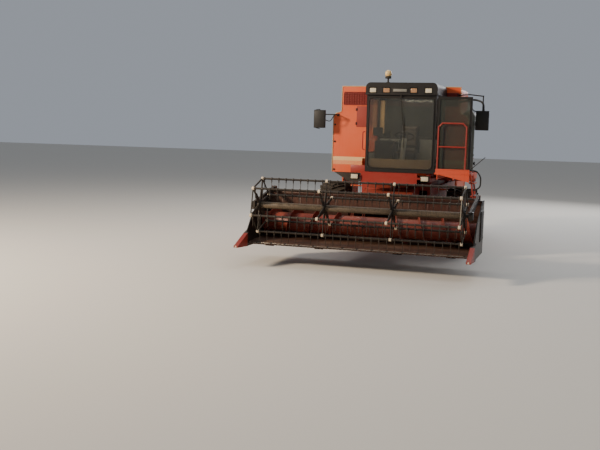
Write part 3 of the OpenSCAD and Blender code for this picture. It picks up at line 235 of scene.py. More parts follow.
dark = mixed(wear, 0.6, wear_in["Paint"], tone(45, 32, 26))
colour = mixed(wear, faded, wear_in["Paint"], pale)
colour = mixed(wear, streaked, colour, dark)
wear.links.new(mixed(wear, dusty, colour, wear_in["Dust"]), wear_out["Color"])
shine = sums(wear, "ADD", wear_in["Shine"], sums(wear, "MULTIPLY", dusty, 0.5))
shine = sums(wear, "ADD", shine, sums(wear, "MULTIPLY", specks, 0.12))
wear.links.new(sums(wear, "MINIMUM", shine, 1.0), wear_out["Roughness"])
wear.links.new(sums(wear, "ADD", sums(wear, "MULTIPLY", grit, 0.5), dusty), wear_out["Height"])
print("field wear:", len(wear.nodes), "nodes")

# %% Shader group for a painted band
band, band_in, band_out = new_group(
    "painted_band",
    [("Low", "Float", 0.0), ("High", "Float", 1.0), ("Screen", "Float", 0.0)], [("Mask", "Float")])
band_place = add(band, "TexCoord").outputs["Object"]
band_height = axes(band, band_place)["Z"]
above = sums(band, "GREATER_THAN", band_height, band_in["Low"])
below = sums(band, "LESS_THAN", band_height, band_in["High"])
DOTS_PER_METRE, DOT_SIZE = 42.0, 0.42
dots = add(band, "TexVoronoi", Scale=DOTS_PER_METRE, Randomness=0.0)
band.links.new(band_place, dots.inputs["Vector"])
dotted = sums(band, "LESS_THAN", dots.outputs["Distance"], DOT_SIZE)
screened = sums(band, "MAXIMUM", dotted, sums(band, "SUBTRACT", 1.0, band_in["Screen"]))
inside = sums(band, "MULTIPLY", sums(band, "MULTIPLY", above, below), screened)
band.links.new(inside, band_out["Mask"])
print("painted band:", len(band.nodes), "nodes")


# %% Making a finish from the groups
# The frame brings plain materials, some of the same names, so the new ones stand in a table of their own.
looks = {}


def worn_material(name, colour, dust, fading, streaks, shine):
    """A new material whose colour and roughness come from the wear group."""
    material = looks[name] = bpy.data.materials.new(name)
    material.use_nodes = True
    tree = material.node_tree
    shader = tree.nodes["Principled BSDF"]
    worn = add(tree, "Group", node_tree=wear, **{"Paint": tone(*colour), "Dust Amount": dust,
                                                 "Fading": fading, "Streaks": streaks, "Shine": shine})
    tree.links.new(worn.outputs["Color"], shader.inputs["Base Color"])
    tree.links.new(worn.outputs["Roughness"], shader.inputs["Roughness"])
    return tree, shader.inputs, worn


def finish(name, colour, dust=0.4, fading=0.2, streaks=0.2, shine=0.35, metal=0.0, bump=0.15,
           coat=0.0, bands=()):
    """Worn paint, metal or plastic. Each band is (low, high, colour, screen)."""
    tree, shader, worn = worn_material(name, colour, dust, fading, streaks, shine)
    for socket, value in (("Metallic", metal), ("Coat Weight", coat), ("Specular IOR Level", 0.32)):
        shader[socket].default_value = value
    base = tone(*colour)
    for low, high, band_colour, screen in bands:
        mask = add(tree, "Group", node_tree=band, Low=low, High=high, Screen=screen)
        base = mixed(tree, mask.outputs["Mask"], base, tone(*band_colour))
    if bands:
        tree.links.new(base, worn.inputs["Paint"])
    bumps = add(tree, "Bump", Strength=bump, Distance=0.002)
    tree.links.new(worn.outputs["Height"], bumps.inputs["Height"])
    tree.links.new(bumps.outputs["Normal"], shader["Normal"])
    return tree, worn


# The first two colours on the next line stand for one red-orange paint: the first is painted as it looks in
# low sun, the second darker, as it looks in shade.
SUNLIT_RED, RED_IN_SHADE, STRIPE, UNDERSIDE_SHADE = (212, 84, 38), (142, 30, 22), (224, 180, 126), (30, 25, 22)
# Each row is (name, colour, dust, fading, streaks, shine, metal, bump, coat, bands), and a row that
# ends early takes the usual values.
FINISHES = (
    # The tank's lowest band, black from 1.0 m up to 1.771 m, is painted shade on the tank's underside.
    ("tank_paint", SUNLIT_RED, 0.18, 0.22, 0.2, 0.35, 0.0, 0.15, 0.1,
     ((2.055, 2.14, STRIPE, 0.0), (1.955, 2.055, STRIPE, 1.0), (1.0, 1.771, UNDERSIDE_SHADE, 0.0))),
    ("orange_paint", SUNLIT_RED, 0.2, 0.22, 0.2, 0.35, 0.0, 0.15, 0.1),
    ("red_paint", RED_IN_SHADE, 0.28, 0.12, 0.2, 0.35, 0.0, 0.15, 0.1),
    # The next finish is the red darkened further, as painted shade on the parts under the platform.
    ("shaded_red", (104, 26, 19), 0.12, 0.06),
    # The header's finish is its red painted dark brown as shade behind the reel, with streaks of wear.
    ("header_shade_paint", (58, 22, 16), 0.25, 0.12, 0.5),
    # On the platform, the band from 1.69 m to 1.99 m round the deck's front edge is a lighter orange,
    # painted as sunlit, over red painted as in shade.
    ("platform_paint", RED_IN_SHADE, 0.28, 0.12, 0.2, 0.35, 0.0, 0.15, 0.1, ((1.69, 1.99, (206, 72, 38), 0.0),)),
    ("auger_red", (112, 24, 17), 0.3, 0.12, 0.4),
    ("black_paint", (15, 13, 12), 0.06, 0.04, 0.2, 0.45),
    ("reel_paint", (22, 17, 14), 0.14, 0.06, 0.2, 0.5),
    ("auger_grey", (74, 76, 68), 0.3, 0.3, 0.2, 0.42, 0.3),
    ("bare_steel", (165, 160, 150), 0.35, 0.2, 0.5, 0.28, 0.9),
    ("chromed_rod", (215, 215, 215), 0.1, 0.0, 0.1, 0.1, 1.0, 0.02),
    ("tyre_rubber", (20, 18, 17), 0.22, 0.06, 0.1, 0.72, 0.0, 0.4),
    ("rim_paint", (200, 186, 152), 0.6, 0.2, 0.3),
    ("black_rubber", (22, 21, 21), 0.25, 0.05, 0.0, 0.6),
    ("grey_trim", (122, 120, 112), 0.2, 0.1, 0.0, 0.55),
    ("dark_trim", (24, 22, 20), 0.1, 0.1, 0.0, 0.6),
    # The pale tan finish serves trim, and also painted highlights on the tank's edge bead and the cab's
    # rear post.
    ("tan_trim_and_highlight", (196, 160, 112), 0.3),
    # The hatch's darker red is partly its own paint and partly painted shade from the cab's roof.
    ("hatch_red_and_shade", (136, 42, 32), 0.2, 0.1, 0.2, 0.6),
    ("mesh_paint", (116, 26, 24), 0.2, 0.1),
    # The reel sleeves' finish is dark with heavy dust on upward faces: the pale tops are partly dust and
    # partly a painted sunlit top over a shaded underside.
    ("sleeve_dust_and_lit_top", (40, 32, 27), 0.75, 0.2, 0.2, 0.4),
    ("kick_brown", (140, 114, 88), 0.3, 0.2, 0.2, 0.6),
    # The next finish is pale only as a painted highlight, for one rim strip that catches the light.
    ("strip_highlight", (150, 140, 122), 0.3, 0.2, 0.2, 0.5),
    ("tine_grey", (34, 29, 26), 0.15, 0.1, 0.2, 0.45),
    ("unload_band", (62, 63, 58), 0.3, 0.2, 0.2, 0.45),
    ("bearing_cream", (208, 190, 162), 0.3, 0.1, 0.2, 0.5),
    ("engine_metal", (84, 82, 78), 0.5, 0.3, 0.5, 0.5, 0.6),
    ("exhaust_metal", (96, 70, 54), 0.4, 0.5, 0.5, 0.6, 0.7),
    ("lamp_shell", (230, 214, 180), 0.15, 0.05, 0.0, 0.18),
    ("seat_cloth", (58, 50, 44), 0.15, 0.3, 0.0, 0.85, 0.0, 0.5),
    ("mirror_glass", (200, 204, 206), 0.1, 0.0, 0.0, 0.03, 1.0, 0.0),
    ("pale_floor", (205, 200, 190), 0.0, 0.1, 0.0, 0.8, 0.0, 0.02),
)
for row in FINISHES:
    finish(*row)
floor.data.materials.append(looks["pale_floor"])
print("finishes:", len(looks))

# %% Black end sheets with red dividers
END_BLACK, DIVIDER_RED, DIVIDER_Y = (24, 15, 13), (126, 28, 20), spot(0, -3942, 0).y
tree, worn = finish("ends_paint", END_BLACK, 0.12, 0.06)
along = axes(tree, add(tree, "TexCoord").outputs["Object"])["Y"]
ahead = sums(tree, "LESS_THAN", along, DIVIDER_Y)
tree.links.new(mixed(tree, ahead, tone(*END_BLACK), tone(*DIVIDER_RED)), worn.inputs["Paint"])
print("red ahead of y", round(DIVIDER_Y, 3))

# %% [markdown]
# ## Glass and lamps
# The cab's panes are smoked and dusty, so part of the light comes back from the dust and the rest goes
# through, darker. Transmission on the shader does that without a picture of what lies behind.

# %% Clear and coloured glass
GLASS_STREAKS, GLASS_IOR = 0.12, 1.45
# Each row is (name, colour, roughness, transmission, dust).
GLASSES = (
    ("smoked_glass", (206, 204, 190), 0.02, 0.97, 0.06),
    # The door pane's stronger tint is partly painted shade, darkening the tank front seen behind it.
    ("door_tint_and_shade", (126, 130, 114), 0.04, 0.88, 0.3),
    ("amber_lens", (246, 214, 150), 0.15, 0.35, 0.05),
    # The next lens is the lamp lens painted darker, as the inner roof lamps look in shade.
    ("lens_in_shade", (196, 150, 112), 0.12, 0.35, 0.1),
    ("lamp_lens", (252, 238, 205), 0.12, 0.35, 0.05),
    ("red_lens", (190, 30, 24), 0.15, 0.4, 0.1),
)
for name, colour, roughness, transmission, dust in GLASSES:
    shader = worn_material(name, colour, dust, 0.0, GLASS_STREAKS, roughness)[1]
    shader["Transmission Weight"].default_value = transmission
    shader["IOR"].default_value = GLASS_IOR
print("kinds of glass:", len(GLASSES))

# %% Finish of each node of the frame
NODE_FINISH = {
    "tank_paint": "grain_tank",
    # These two finishes are lit and shaded copies of one red paint: the first is painted sunlit, the second
    # painted in shade.
    "orange_paint": "tank_extension side_shields engine_hood straw_hood",
    "red_paint": "main_frame rear_axle knuckle_left knuckle_right grain_elevator feeder_house",
    "shaded_red": "separator_body front_axle",
    "platform_paint": "platform",
    "header_shade_paint": "header_frame header_floor",
    "ends_paint": "header_ends",
    "auger_red": "header_auger",
    "black_paint": "cab_shell cab_roof cab_door mirrors fuel_tank lift_barrels rotary_screen",
    "reel_paint": "reel_arms reel reel_bat_1 reel_bat_2 reel_bat_3 reel_bat_4 reel_bat_5 reel_bat_6",
    "auger_grey": "unload_upright unload_tube",
    "bare_steel": "tie_rod tank_auger",
    "chromed_rod": "lift_rods",
    "tyre_rubber": "front_tyre_left front_tyre_right rear_tyre_left rear_tyre_right",
    "rim_paint": "front_rim_left front_rim_right rear_rim_left rear_rim_right",
    "smoked_glass": "cab_glass",
    "door_tint_and_shade": "door_glass",
    "dark_trim": "seat console",
    "engine_metal": "engine",
    "lamp_shell": "lamps",
}


def dress(made, finish_name):
    """Gives a part one finish."""
    made.data.materials.clear()
    made.data.materials.append(looks[finish_name])


left_over = set(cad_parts)
for finish_name, names in NODE_FINISH.items():
    for name in names.split():
        dress(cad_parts[name], finish_name)
        left_over.remove(name)
print("nodes without a finish:", sorted(left_over))

# %% [markdown]
# ## Tools for making pieces
# Sheet metal, bars and tubes make up most of this machine. Each one starts from a primitive at its
# real size, gets its rounded edges in edit mode, and is then joined to its neighbours of the same
# finish. Repeated parts are modelled once and copied.

# %% Short forms of the operators
def settle():
    """The active part's place, turn and scale go into its mesh."""
    bpy.ops.object.transform_apply(location=True, rotation=True, scale=True)


def edit(*steps):
    """Runs mesh operators on the whole active part. Each step is an operator and its settings."""
    bpy.ops.object.mode_set(mode="EDIT")
    for operator, settings in steps:
        bpy.ops.mesh.select_all(action="SELECT")
        operator(**settings)
    bpy.ops.object.mode_set(mode="OBJECT")
    return bpy.context.object


def modified(made, kind, **settings):
    """Puts a modifier on a part and applies it."""
    bpy.context.view_layer.objects.active = made
    modifier = made.modifiers.new("work", kind)
    for name, value in settings.items():
        setattr(modifier, name, value)
    bpy.ops.object.modifier_apply(modifier="work")
    return made


def joined(parts):
    """Several parts as one."""
    clear()
    for part in parts:
        part.select_set(True)
    bpy.context.view_layer.objects.active = parts[0]
    if len(parts) > 1:
        bpy.ops.object.join()
    return bpy.context.object


WELD = (bpy.ops.mesh.remove_doubles, {"threshold": 0.0001})
FACE_OUT = (bpy.ops.mesh.normals_make_consistent, {"inside": False})
print("operators have short forms")


# %% Blocks, rods and bent tubes
def block(x0, x1, y0, y1, z0, z1, edge=4, segments=2):
    """A box between two corners in millimetres, with rounded edges."""
    clear()
    low, high = spot(x0, y0, z0), spot(x1, y1, z1)
    bpy.ops.mesh.primitive_cube_add(size=1, location=(low + high) / 2)
    made = bpy.context.object
    made.scale = high - low
    settle()
    if edge:
        edit((bpy.ops.mesh.bevel, {"offset": edge / 1000, "segments": segments, "affect": "EDGES"}))
    return made


def rod(start, end, radius, sides=16, edge=2):
    """A round bar between two places in millimetres, with rounded rims."""
    clear()
    start, end = spot(*start), spot(*end)
    bpy.ops.mesh.primitive_cylinder_add(vertices=sides, radius=radius / 1000, depth=(end - start).length,
                                        location=(start + end) / 2)
    made = bpy.context.object
    made.rotation_euler = (end - start).to_track_quat("Z", "Y").to_euler()
    settle()
    if edge:
        modified(made, "BEVEL", width=edge / 1000, segments=2, limit_method="ANGLE",
                 angle_limit=math.radians(50))
    return made


def upright(x, y, low, high, radius, sides=16, edge=2):
    """A rod that stands on end."""
    return rod((x, y, low), (x, y, high), radius, sides, edge)


def across(x0, x1, y, z, radius, sides=16, edge=2):
    """A rod that lies across the machine."""
    return rod((x0, y, z), (x1, y, z), radius, sides, edge)


def rounded(points, radius):
    """A path whose corners are turned into short curves of a radius, all in millimetres."""
    points = [Vector(p) for p in points]
    path = [points[0]]
    for before, corner, after in zip(points, points[1:], points[2:]):
        reach = min(radius, (before - corner).length * 0.45, (after - corner).length * 0.45)
        start = corner + (before - corner).normalized() * reach
        end = corner + (after - corner).normalized() * reach
        for step in range(6):
            share = step / 5
            path.append(start.lerp(corner, share).lerp(corner.lerp(end, share), share))
    return path + [points[-1]]


def tube(points, radius, corner=60, resolution=4):
    """A bent round tube along a path in millimetres."""
    clear()
    bpy.ops.curve.primitive_bezier_curve_add()
    curve = bpy.context.object
    curve.data.splines.clear()
    path = rounded(points, corner)
    line = curve.data.splines.new("POLY")
    line.points.add(len(path) - 1)
    for point, place in zip(line.points, path):
        point.co = (*spot(*place), 1)
    curve.location = (0, 0, 0)
    curve.data.dimensions = "3D"
    curve.data.bevel_depth = radius / 1000
    curve.data.bevel_resolution = resolution
    curve.data.use_fill_caps = True
    bpy.ops.object.convert(target="MESH")
    return edit(WELD, FACE_OUT)


print("bars and tubes can be made")


# %% Turns, copies, pieces and bolts
def about(x, y, z, angle, axis="X"):
    """The turn by an angle about an axis through a place in millimetres."""
    middle = Matrix.Translation(spot(x, y, z))
    return middle @ Matrix.Rotation(angle, 4, axis) @ middle.inverted()


def turned(part, degrees, axis, x, y, z):
    """Turns a part about an axis through a place in millimetres."""
    part.data.transform(about(x, y, z, math.radians(degrees), axis))
    return part


def circle(count, radius, first, second):
    """Places on a circle round a middle, each as its two coordinates."""
    angles = [math.tau * i / count for i in range(count)]
    return [(first + radius * math.cos(a), second + radius * math.sin(a)) for a in angles]


def copies(first, moves):
    """The first part and a copy of it at each further move, a matrix or a shift in millimetres."""
    made = [first]
    for move in moves:
        twin = first.copy()
        twin.data = first.data.copy()
        bpy.context.collection.objects.link(twin)
        if not isinstance(move, Matrix):
            move = Matrix.Translation(Vector(move) / 1000)
        twin.data.transform(move)
        made.append(twin)
    return made


def opposite(part, turn=Matrix.Identity(4)):
    """A part's mirror image on the machine's other side, with a turn after it."""
    twin = copies(part, [turn @ Matrix.Scale(-1, 4, (1, 0, 0))])[1]
    twin.data.flip_normals()
    return twin


def mirrored(parts):
    """The parts and their mirror images."""
    return parts + [opposite(part) for part in parts]


def piece(name, parts, finish_name, body="chassis", smooth=35):
    """Joins the parts into one object at the origin, with its finish, and lets it ride on a body."""
    made = joined(parts)
    settle()
    bpy.ops.object.shade_smooth_by_angle(angle=math.radians(smooth))
    made.name = made.data.name = name
    dress(made, finish_name)
    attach(made, body)
    print(f"{name}: {len(made.data.polygons)} faces")
    return made


WAYS = {"-Y": (0, -1, 0), "+Y": (0, 1, 0), "-X": (-1, 0, 0), "+X": (1, 0, 0)}


def bolt(x, y, z, axis, radius=11, head=8):
    """A hexagon bolt with its washer, standing out of a face along an axis such as -Y."""
    base, way = Vector((x, y, z)), Vector(WAYS[axis])
    return joined([rod(base - way * 2, base + way * 2, radius * 1.5, 14, 0.5),
                   rod(base + way * 2, base + way * (2 + head), radius, 6, 1.5)])


def side_bolts(x, y, z, radius=11, head=8):
    """A bolt on each side of the machine."""
    return [bolt(x, y, z, "+X", radius, head), bolt(-x, y, z, "-X", radius, head)]


print("piece tools are ready")

# %% [markdown]
# ## Tyres
# A drive tyre is a round carcass with long bars that meet in a chevron. The carcass is a section spun
# round the wheel's axle. One bar is modelled for one side of the tread and copied round the wheel, and
# its mirror image comes half a step later, as on the real mould.

# %% Carcass of a tyre
def carcass(radius, width, bead, bead_half, lug):
    """The tyre's section, spun round the X axis at the origin, in metres."""
    tread, half = radius - lug, width / 2
    section = [(-bead_half, bead), (-bead_half - 0.012, bead + 0.025), (-half + 0.02, bead + 0.09),
               (-half, (bead + tread) / 2 + 0.02), (-half + 0.018, tread - 0.075),
               (-half + 0.06, tread - 0.02), (-half * 0.5, tread - 0.002), (0, tread)]
    section += [(-x, r) for x, r in reversed(section[:-1])]
    clear()
    bpy.ops.mesh.primitive_grid_add(x_subdivisions=len(section) - 1, y_subdivisions=1, size=1)
    made = bpy.context.object
    columns = sorted({round(v.co.x, 5) for v in made.data.vertices})
    for vertex in made.data.vertices:
        x, r = section[columns.index(round(vertex.co.x, 5))]
        vertex.co = (x, 0, r)
    spin = {"steps": 72, "angle": math.tau, "center": (0, 0, 0), "axis": (1, 0, 0)}
    return edit(WELD, (bpy.ops.mesh.spin, spin), (bpy.ops.mesh.remove_doubles, {"threshold": 0.0005}),
                FACE_OUT)


print("tyre section is ready")


# %% One tread bar, wrapped round the tyre
BAR_INNER, BAR_SWEEP, BAR_SUNK = -0.015, 0.72, 0.03


def tread_bar(radius, lug, outer_x, thick):
    """A bar from near the tread's middle out to its shoulder, swept back, in metres."""
    clear()
    length, depth = (outer_x - BAR_INNER) / math.cos(BAR_SWEEP), lug + BAR_SUNK
    bpy.ops.mesh.primitive_cube_add(size=1)
    made = bpy.context.object
    made.scale = (length, thick, depth)
    settle()
    made.data.polygons.foreach_set("select", [p.normal.z > 0.5 for p in made.data.polygons])
    bpy.ops.object.mode_set(mode="EDIT")
    bpy.ops.mesh.select_mode(type="FACE")
    bpy.ops.transform.resize(value=(0.96, 0.62, 1))
    edit((bpy.ops.mesh.bevel, {"offset": 0.005, "segments": 1, "affect": "EDGES"}),
         *((bpy.ops.mesh.bisect, {"plane_co": (share * length, 0, 0), "plane_no": (1, 0, 0)})
           for share in (-0.3, -0.1, 0.1, 0.3)))
    made.data.transform(Matrix.Translation((0, 0, radius - depth / 2)) @ Matrix.Rotation(BAR_SWEEP, 4, "Z"))
    made.data.transform(Matrix.Translation(((BAR_INNER + outer_x) / 2, 0, 0)))
    for vertex in made.data.vertices:
        x, y, z = vertex.co
        drop = max(0.0, abs(x) - outer_x * 0.8) * 0.35
        turn = y / radius
        vertex.co = (x, (z - drop) * math.sin(turn), (z - drop) * math.cos(turn))
    return made


def tyre(name, place, radius, width, bead, bead_half, lug, count, thick, body, replaced):
    """A whole tyre at a place in millimetres, standing for a node of the frame."""
    ring = carcass(radius, width, bead, bead_half, lug)
    bar = tread_bar(radius, lug, width * 0.47, thick)
    other_bar = opposite(bar, Matrix.Rotation(math.tau / count / 2, 4, "X"))
    turns = [Matrix.Rotation(math.tau * i / count, 4, "X") for i in range(1, count)]
    parts = [ring] + copies(bar, turns) + copies(other_bar, turns)
    for part in parts:
        part.data.transform(Matrix.Translation(spot(*place)))
    made = piece(name, parts, "tyre_rubber", body, 40)
    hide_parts(replaced)


SIDES = (("left", 1), ("right", -1))
FRONT_X, FRONT_Z, REAR_X, REAR_Y, REAR_Z = 1520, 750, 1250, 3450, 630
for side, sign in SIDES:
    tyre(f"drive_tyre_{side}", (sign * FRONT_X, 0, FRONT_Z), 0.75, 0.7, 0.336, 0.28, 0.042, 18, 0.058,
         f"wheel_front_{side}", f"front_tyre_{side}")
    tyre(f"steer_tyre_{side}", (sign * REAR_X, REAR_Y, REAR_Z), 0.63, 0.38, 0.306, 0.145, 0.03, 20, 0.05,
         f"wheel_rear_{side}", f"rear_tyre_{side}")

# %% [markdown]
# ## Wheel fittings
# Each rim is held by a ring of nuts round the hub, and the hub ends in a pressed cap. The caps are
# turned from a short cylinder whose rim is rounded, and the nuts are one nut copied round.

# %% Wheel nuts and hub caps
DISC_FACE = 38


def wheel_fittings(name, x, y, z, hub, nut_circle, nuts, body):
    """Nuts and cap on the outer face of a wheel's disc."""
    way = 1 if x > 0 else -1
    disc = x + way * DISC_FACE
    cap = across(disc + way * 20, disc + way * 74, y, z, hub, 32, 14)
    first = across(disc - way * 3, disc + way * 24, y, z + nut_circle, 16, 6, 2)
    turns = [about(x, y, z, math.tau * i / nuts) for i in range(1, nuts)]
    piece(name, [cap] + copies(first, turns), "bare_steel", body)


for side, sign in SIDES:
    wheel_fittings(f"front_hub_{side}", sign * FRONT_X, 0, FRONT_Z, 90, 150, 10, f"wheel_front_{side}")
    wheel_fittings(f"rear_hub_{side}", sign * REAR_X, REAR_Y, REAR_Z, 62, 112, 8, f"wheel_rear_{side}")

# %% [markdown]
# ## Cab: seals, wiper, handles and roof
# A cab pane sits in a rubber seal, and a step away that dark rounded line is what makes it a window.
# Each seal is a tube bent round the opening. The wiper hangs from the top of the windscreen, and the
# roof's lamp band carries a blank plate between the lamps.

# %% Window seals and door seals
CAB_X0, CAB_X1, CAB_MIDDLE, CAB_FRONT, CAB_REAR = -479, 1067, 294, -1375, -150
SIDE_REAR, SIDE_LOW, SEAL_TOP = CAB_REAR - 108, 2288, 3502


def seal(start, end, low, high, radius, corner=90):
    """A rubber seal round an upright opening, between two places (x, y) and two heights."""
    middle = ((start[0] + end[0]) / 2, (start[1] + end[1]) / 2, low)
    loop = [middle, (*start, low), (*start, high), (*end, high), (*end, low), middle]
    return tube(loop, radius, corner)


seals = [seal((CAB_X0 + 50, CAB_FRONT - 3), (CAB_X1 - 50, CAB_FRONT - 3), 1955, SEAL_TOP + 3, 13, 110),
         seal((CAB_X0 - 2, CAB_FRONT + 108), (CAB_X0 - 2, SIDE_REAR), SIDE_LOW, SEAL_TOP, 11),
         seal((CAB_X1 + 2, CAB_FRONT + 798), (CAB_X1 + 2, SIDE_REAR), SIDE_LOW, SEAL_TOP, 11),
         seal((CAB_X0 + 108, CAB_REAR + 2), (CAB_X1 - 108, CAB_REAR + 2), 2628, SEAL_TOP, 11),
         seal((CAB_X1 - 1, CAB_FRONT + 52), (CAB_X1 - 1, CAB_FRONT + 724), 1925, SEAL_TOP - 10, 4, 60)]
piece("window_seals", seals, "black_rubber")
door_seals = [seal((1141, y), (1793, y), 1970, 3495, radius, 60) for y, radius in ((-1357, 5), (-1386, 9))]
piece("door_seal", door_seals, "black_rubber", "cab_door")

# %% Wiper, cab grip and door lock
WIPER_Z, BLADE_LOW, BLADE_HIGH = 3535, 2410, 3090
wiper = [rod((CAB_MIDDLE, CAB_FRONT - 5, WIPER_Z), (CAB_MIDDLE, CAB_FRONT - 42, WIPER_Z), 20, 20, 4),
         tube([(CAB_MIDDLE, CAB_FRONT - 32, WIPER_Z), (330, CAB_FRONT - 34, 3060),
               (380, CAB_FRONT - 22, 2800)], 7, 80),
         block(374, 386, CAB_FRONT - 20, CAB_FRONT - 8, BLADE_LOW, BLADE_HIGH, 2),
         block(377, 383, CAB_FRONT - 9, CAB_FRONT - 3, BLADE_LOW, BLADE_HIGH, 0)]
piece("wiper", wiper, "black_rubber")
grip = tube([(CAB_X0 - 20, CAB_FRONT + 30, 2350), (CAB_X0 - 75, CAB_FRONT + 20, 2360),
             (CAB_X0 - 75, CAB_FRONT + 20, 2740), (CAB_X0 - 20, CAB_FRONT + 30, 2750)], 12, 70)
piece("cab_grip", [grip], "red_paint")
pull = [(1740, y, z) for y, z in ((-1384, 2700), (-1425, 2700), (-1425, 2880), (-1384, 2880))]
door_lock = [tube(pull, 9, 30), block(1722, 1760, -1399, -1381, 2610, 2700, 5)]
piece("door_lock", door_lock, "black_paint", "cab_door")

# %% Roof band: blank plate, its backing and the gutters
roof_parts = [block(90, 445, CAB_FRONT - 68, CAB_FRONT - 56, 3615, 3705, 5),
              block(CAB_X0 - 18, CAB_X1 + 18, CAB_FRONT - 66, CAB_FRONT - 58, 3565, 3585, 3)]
for x, way in ((CAB_X0, -1), (CAB_X1, 1)):
    roof_parts.append(tube([(x + way * 20, CAB_REAR, 3580), (x + way * 24, CAB_FRONT - 40, 3580)], 10, 10))
piece("roof_band", roof_parts, "dark_trim")
piece("blank_plate", [block(120, 415, CAB_FRONT - 74, CAB_FRONT - 66, 3632, 3688, 4)], "grey_trim")

# %% [markdown]
# ## Lamps
# A work lamp is a square shell with rounded edges, a bezel and a crowned lens. The six front lamps come
# from one function. The beacon is turned: a dark base, a stem and a ribbed amber dome.

# %% Work lamps
def work_lamp(x, y, z, width, height):
    """Shell, bezel and lens of a square lamp that faces the front, each as its own part."""
    x0, x1, z0, z1 = x - width / 2, x + width / 2, z - height / 2, z + height / 2
    return (block(x0, x1, y, y + 55, z0, z1, 14, 3),
            seal((x0 + 8, y + 1), (x1 - 8, y + 1), z0 + 8, z1 - 8, 6, 18),
            block(x0 + 12, x1 - 12, y - 4, y + 10, z0 + 12, z1 - 12, 9, 3))


roof_lamps = [work_lamp(x, CAB_FRONT - 56, 3660, 164, 118) for x in (-337, -34, 571, 892)]
low_lamps = [work_lamp(x, -1424, 1750, 184, 122) for x in (-700, 880)]
shells = [part for one in roof_lamps + low_lamps for part in one[:2]]
shells += [block(x - 102, x + 102, -1372, -1345, 1680, 1820, 6) for x in (-700, 880)]
lamp_shells = piece("lamp_shells", shells, "dark_trim")
piece("lamp_lenses", [one[2] for one in (roof_lamps[0], roof_lamps[3], *low_lamps)], "lamp_lens")
# The inner roof lamps' lenses are painted darker as shade.
piece("inner_lamp_lenses", [one[2] for one in roof_lamps[1:3]], "lens_in_shade")
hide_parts("lamps")

# %% Beacon and tail lamps
BEACON, ROOF_TOP, DOME_Z, DOME_R = (-45, -1250), 3830, 4035, 0.074
piece("beacon_base", [upright(*BEACON, ROOF_TOP - 2, ROOF_TOP + 14, 48, 28, 4),
                      upright(*BEACON, ROOF_TOP, DOME_Z - 105, 20, 20, 2),
                      upright(*BEACON, DOME_Z - 112, DOME_Z - 64, 68, 36, 8)], "dark_trim")
clear()
bpy.ops.mesh.primitive_uv_sphere_add(segments=36, ring_count=20, radius=DOME_R,
                                     location=spot(*BEACON, DOME_Z - 2))
dome = bpy.context.object
dome.data.transform(Matrix.Diagonal((1, 1, 1.05, 1)))
for vertex in dome.data.vertices:
    if vertex.co.z < 0:
        vertex.co.z *= 1.25
        narrower = 1.0 - 0.05 * abs(vertex.co.z) / DOME_R
        vertex.co.x *= narrower
        vertex.co.y *= narrower
ribs = [upright(*BEACON, DOME_Z - 56 + 14 * i, DOME_Z - 50 + 14 * i, 76, 36, 2) for i in range(4)]
piece("beacon_dome", [dome] + ribs, "amber_lens")
piece("tail_lamps", mirrored([block(542, 678, 4998, 5046, 1732, 1808, 12, 3)]), "red_lens")

# %% [markdown]
# ## Mirrors
# Each mirror is a shallow black shell with rounded corners, with the glass on the side that faces the
# driver, behind it.

# %% Mirror glass and shells
glasses, backs = [], []
for x, y, z in ((2010, -1000, 3050), (-1860, -420, 3020)):
    backs += [block(x - 142, x + 142, y - 8, y + 44, z - 212, z + 212, 22, 3),
              upright(x, y + 25, z + 120, z + 216, 20, 16, 3)]
    glasses.append(block(x - 122, x + 122, y + 44, y + 53, z - 192, z + 192, 4))
piece("mirror_shells", backs, "black_paint")
piece("mirror_glass", glasses, "mirror_glass")

# %% [markdown]
# ## Grain tank: trim, hatch and screen
# The tank's front is flat sheet with an edge bead, pale tan as a painted highlight of its sunlit edge, a
# hinged hatch by the cab, darker red partly as painted shade of the cab's roof, and, in the extension above
# it, a dark red screen of pierced sheet. The screen is a grid whose faces become openings with a wireframe
# modifier.

# %% Edge beads, hatch and catches
TANK_FRONT, TANK_HALF, TANK_LEFT, EXT_HALF, EXT_TOP, SHOULDER = -100, 1610, 1250, 1410, 3815, 3070
TRIM_Y = TANK_FRONT - 12
half_bead = [(TANK_HALF - 5, 1775), (TANK_HALF - 5, SHOULDER), (TANK_HALF - 52, SHOULDER + 98),
             (EXT_HALF - 5, 3210), (EXT_HALF - 5, EXT_TOP - 6)]
bead_line = [(-x, TANK_FRONT - 4, z) for x, z in half_bead]
bead_line += [(-x, y, z) for x, y, z in reversed(bead_line)]
# The bead's pale tan is a painted highlight along the tank's sunlit edge.
piece("tank_edge_bead", [tube(bead_line, 9, 45)], "tan_trim_and_highlight")
hatch = [block(-1035, -520, TANK_FRONT - 9, TANK_FRONT + 2, 2855, 3345, 5)]
hatch += [upright(-1045, TRIM_Y, z, z + 70, 9, 14, 2) for z in (2900, 3230)]
piece("tank_hatch", hatch, "hatch_red_and_shade")
piece("tank_view_pane", [block(-360, 950, TRIM_Y, TANK_FRONT + 1, 2640, 3520, 8, 3)], "black_rubber")
piece("view_pane_frame", [seal((-360, TRIM_Y), (950, TRIM_Y), 2640, 3520, 10, 40)], "dark_trim")
piece("tank_foot_panel", [block(-1145, -500, TANK_FRONT - 6, TANK_FRONT + 1, 1777, 1953, 3)], "red_paint")
catches = [block(-1060, -1020, TANK_FRONT - 20, TANK_FRONT - 2, z, z + 60, 5) for z in (2905, 3235)]
catches += [rod((-1560, TANK_FRONT - 2, z), (-1560, TANK_FRONT - 20, z), 22, 20, 5)
            for z in (1830, 2500, 2900)]
piece("tank_catches", catches, "black_paint")
clear()
bpy.ops.mesh.primitive_grid_add(x_subdivisions=44, y_subdivisions=7, size=1)
screen = bpy.context.object
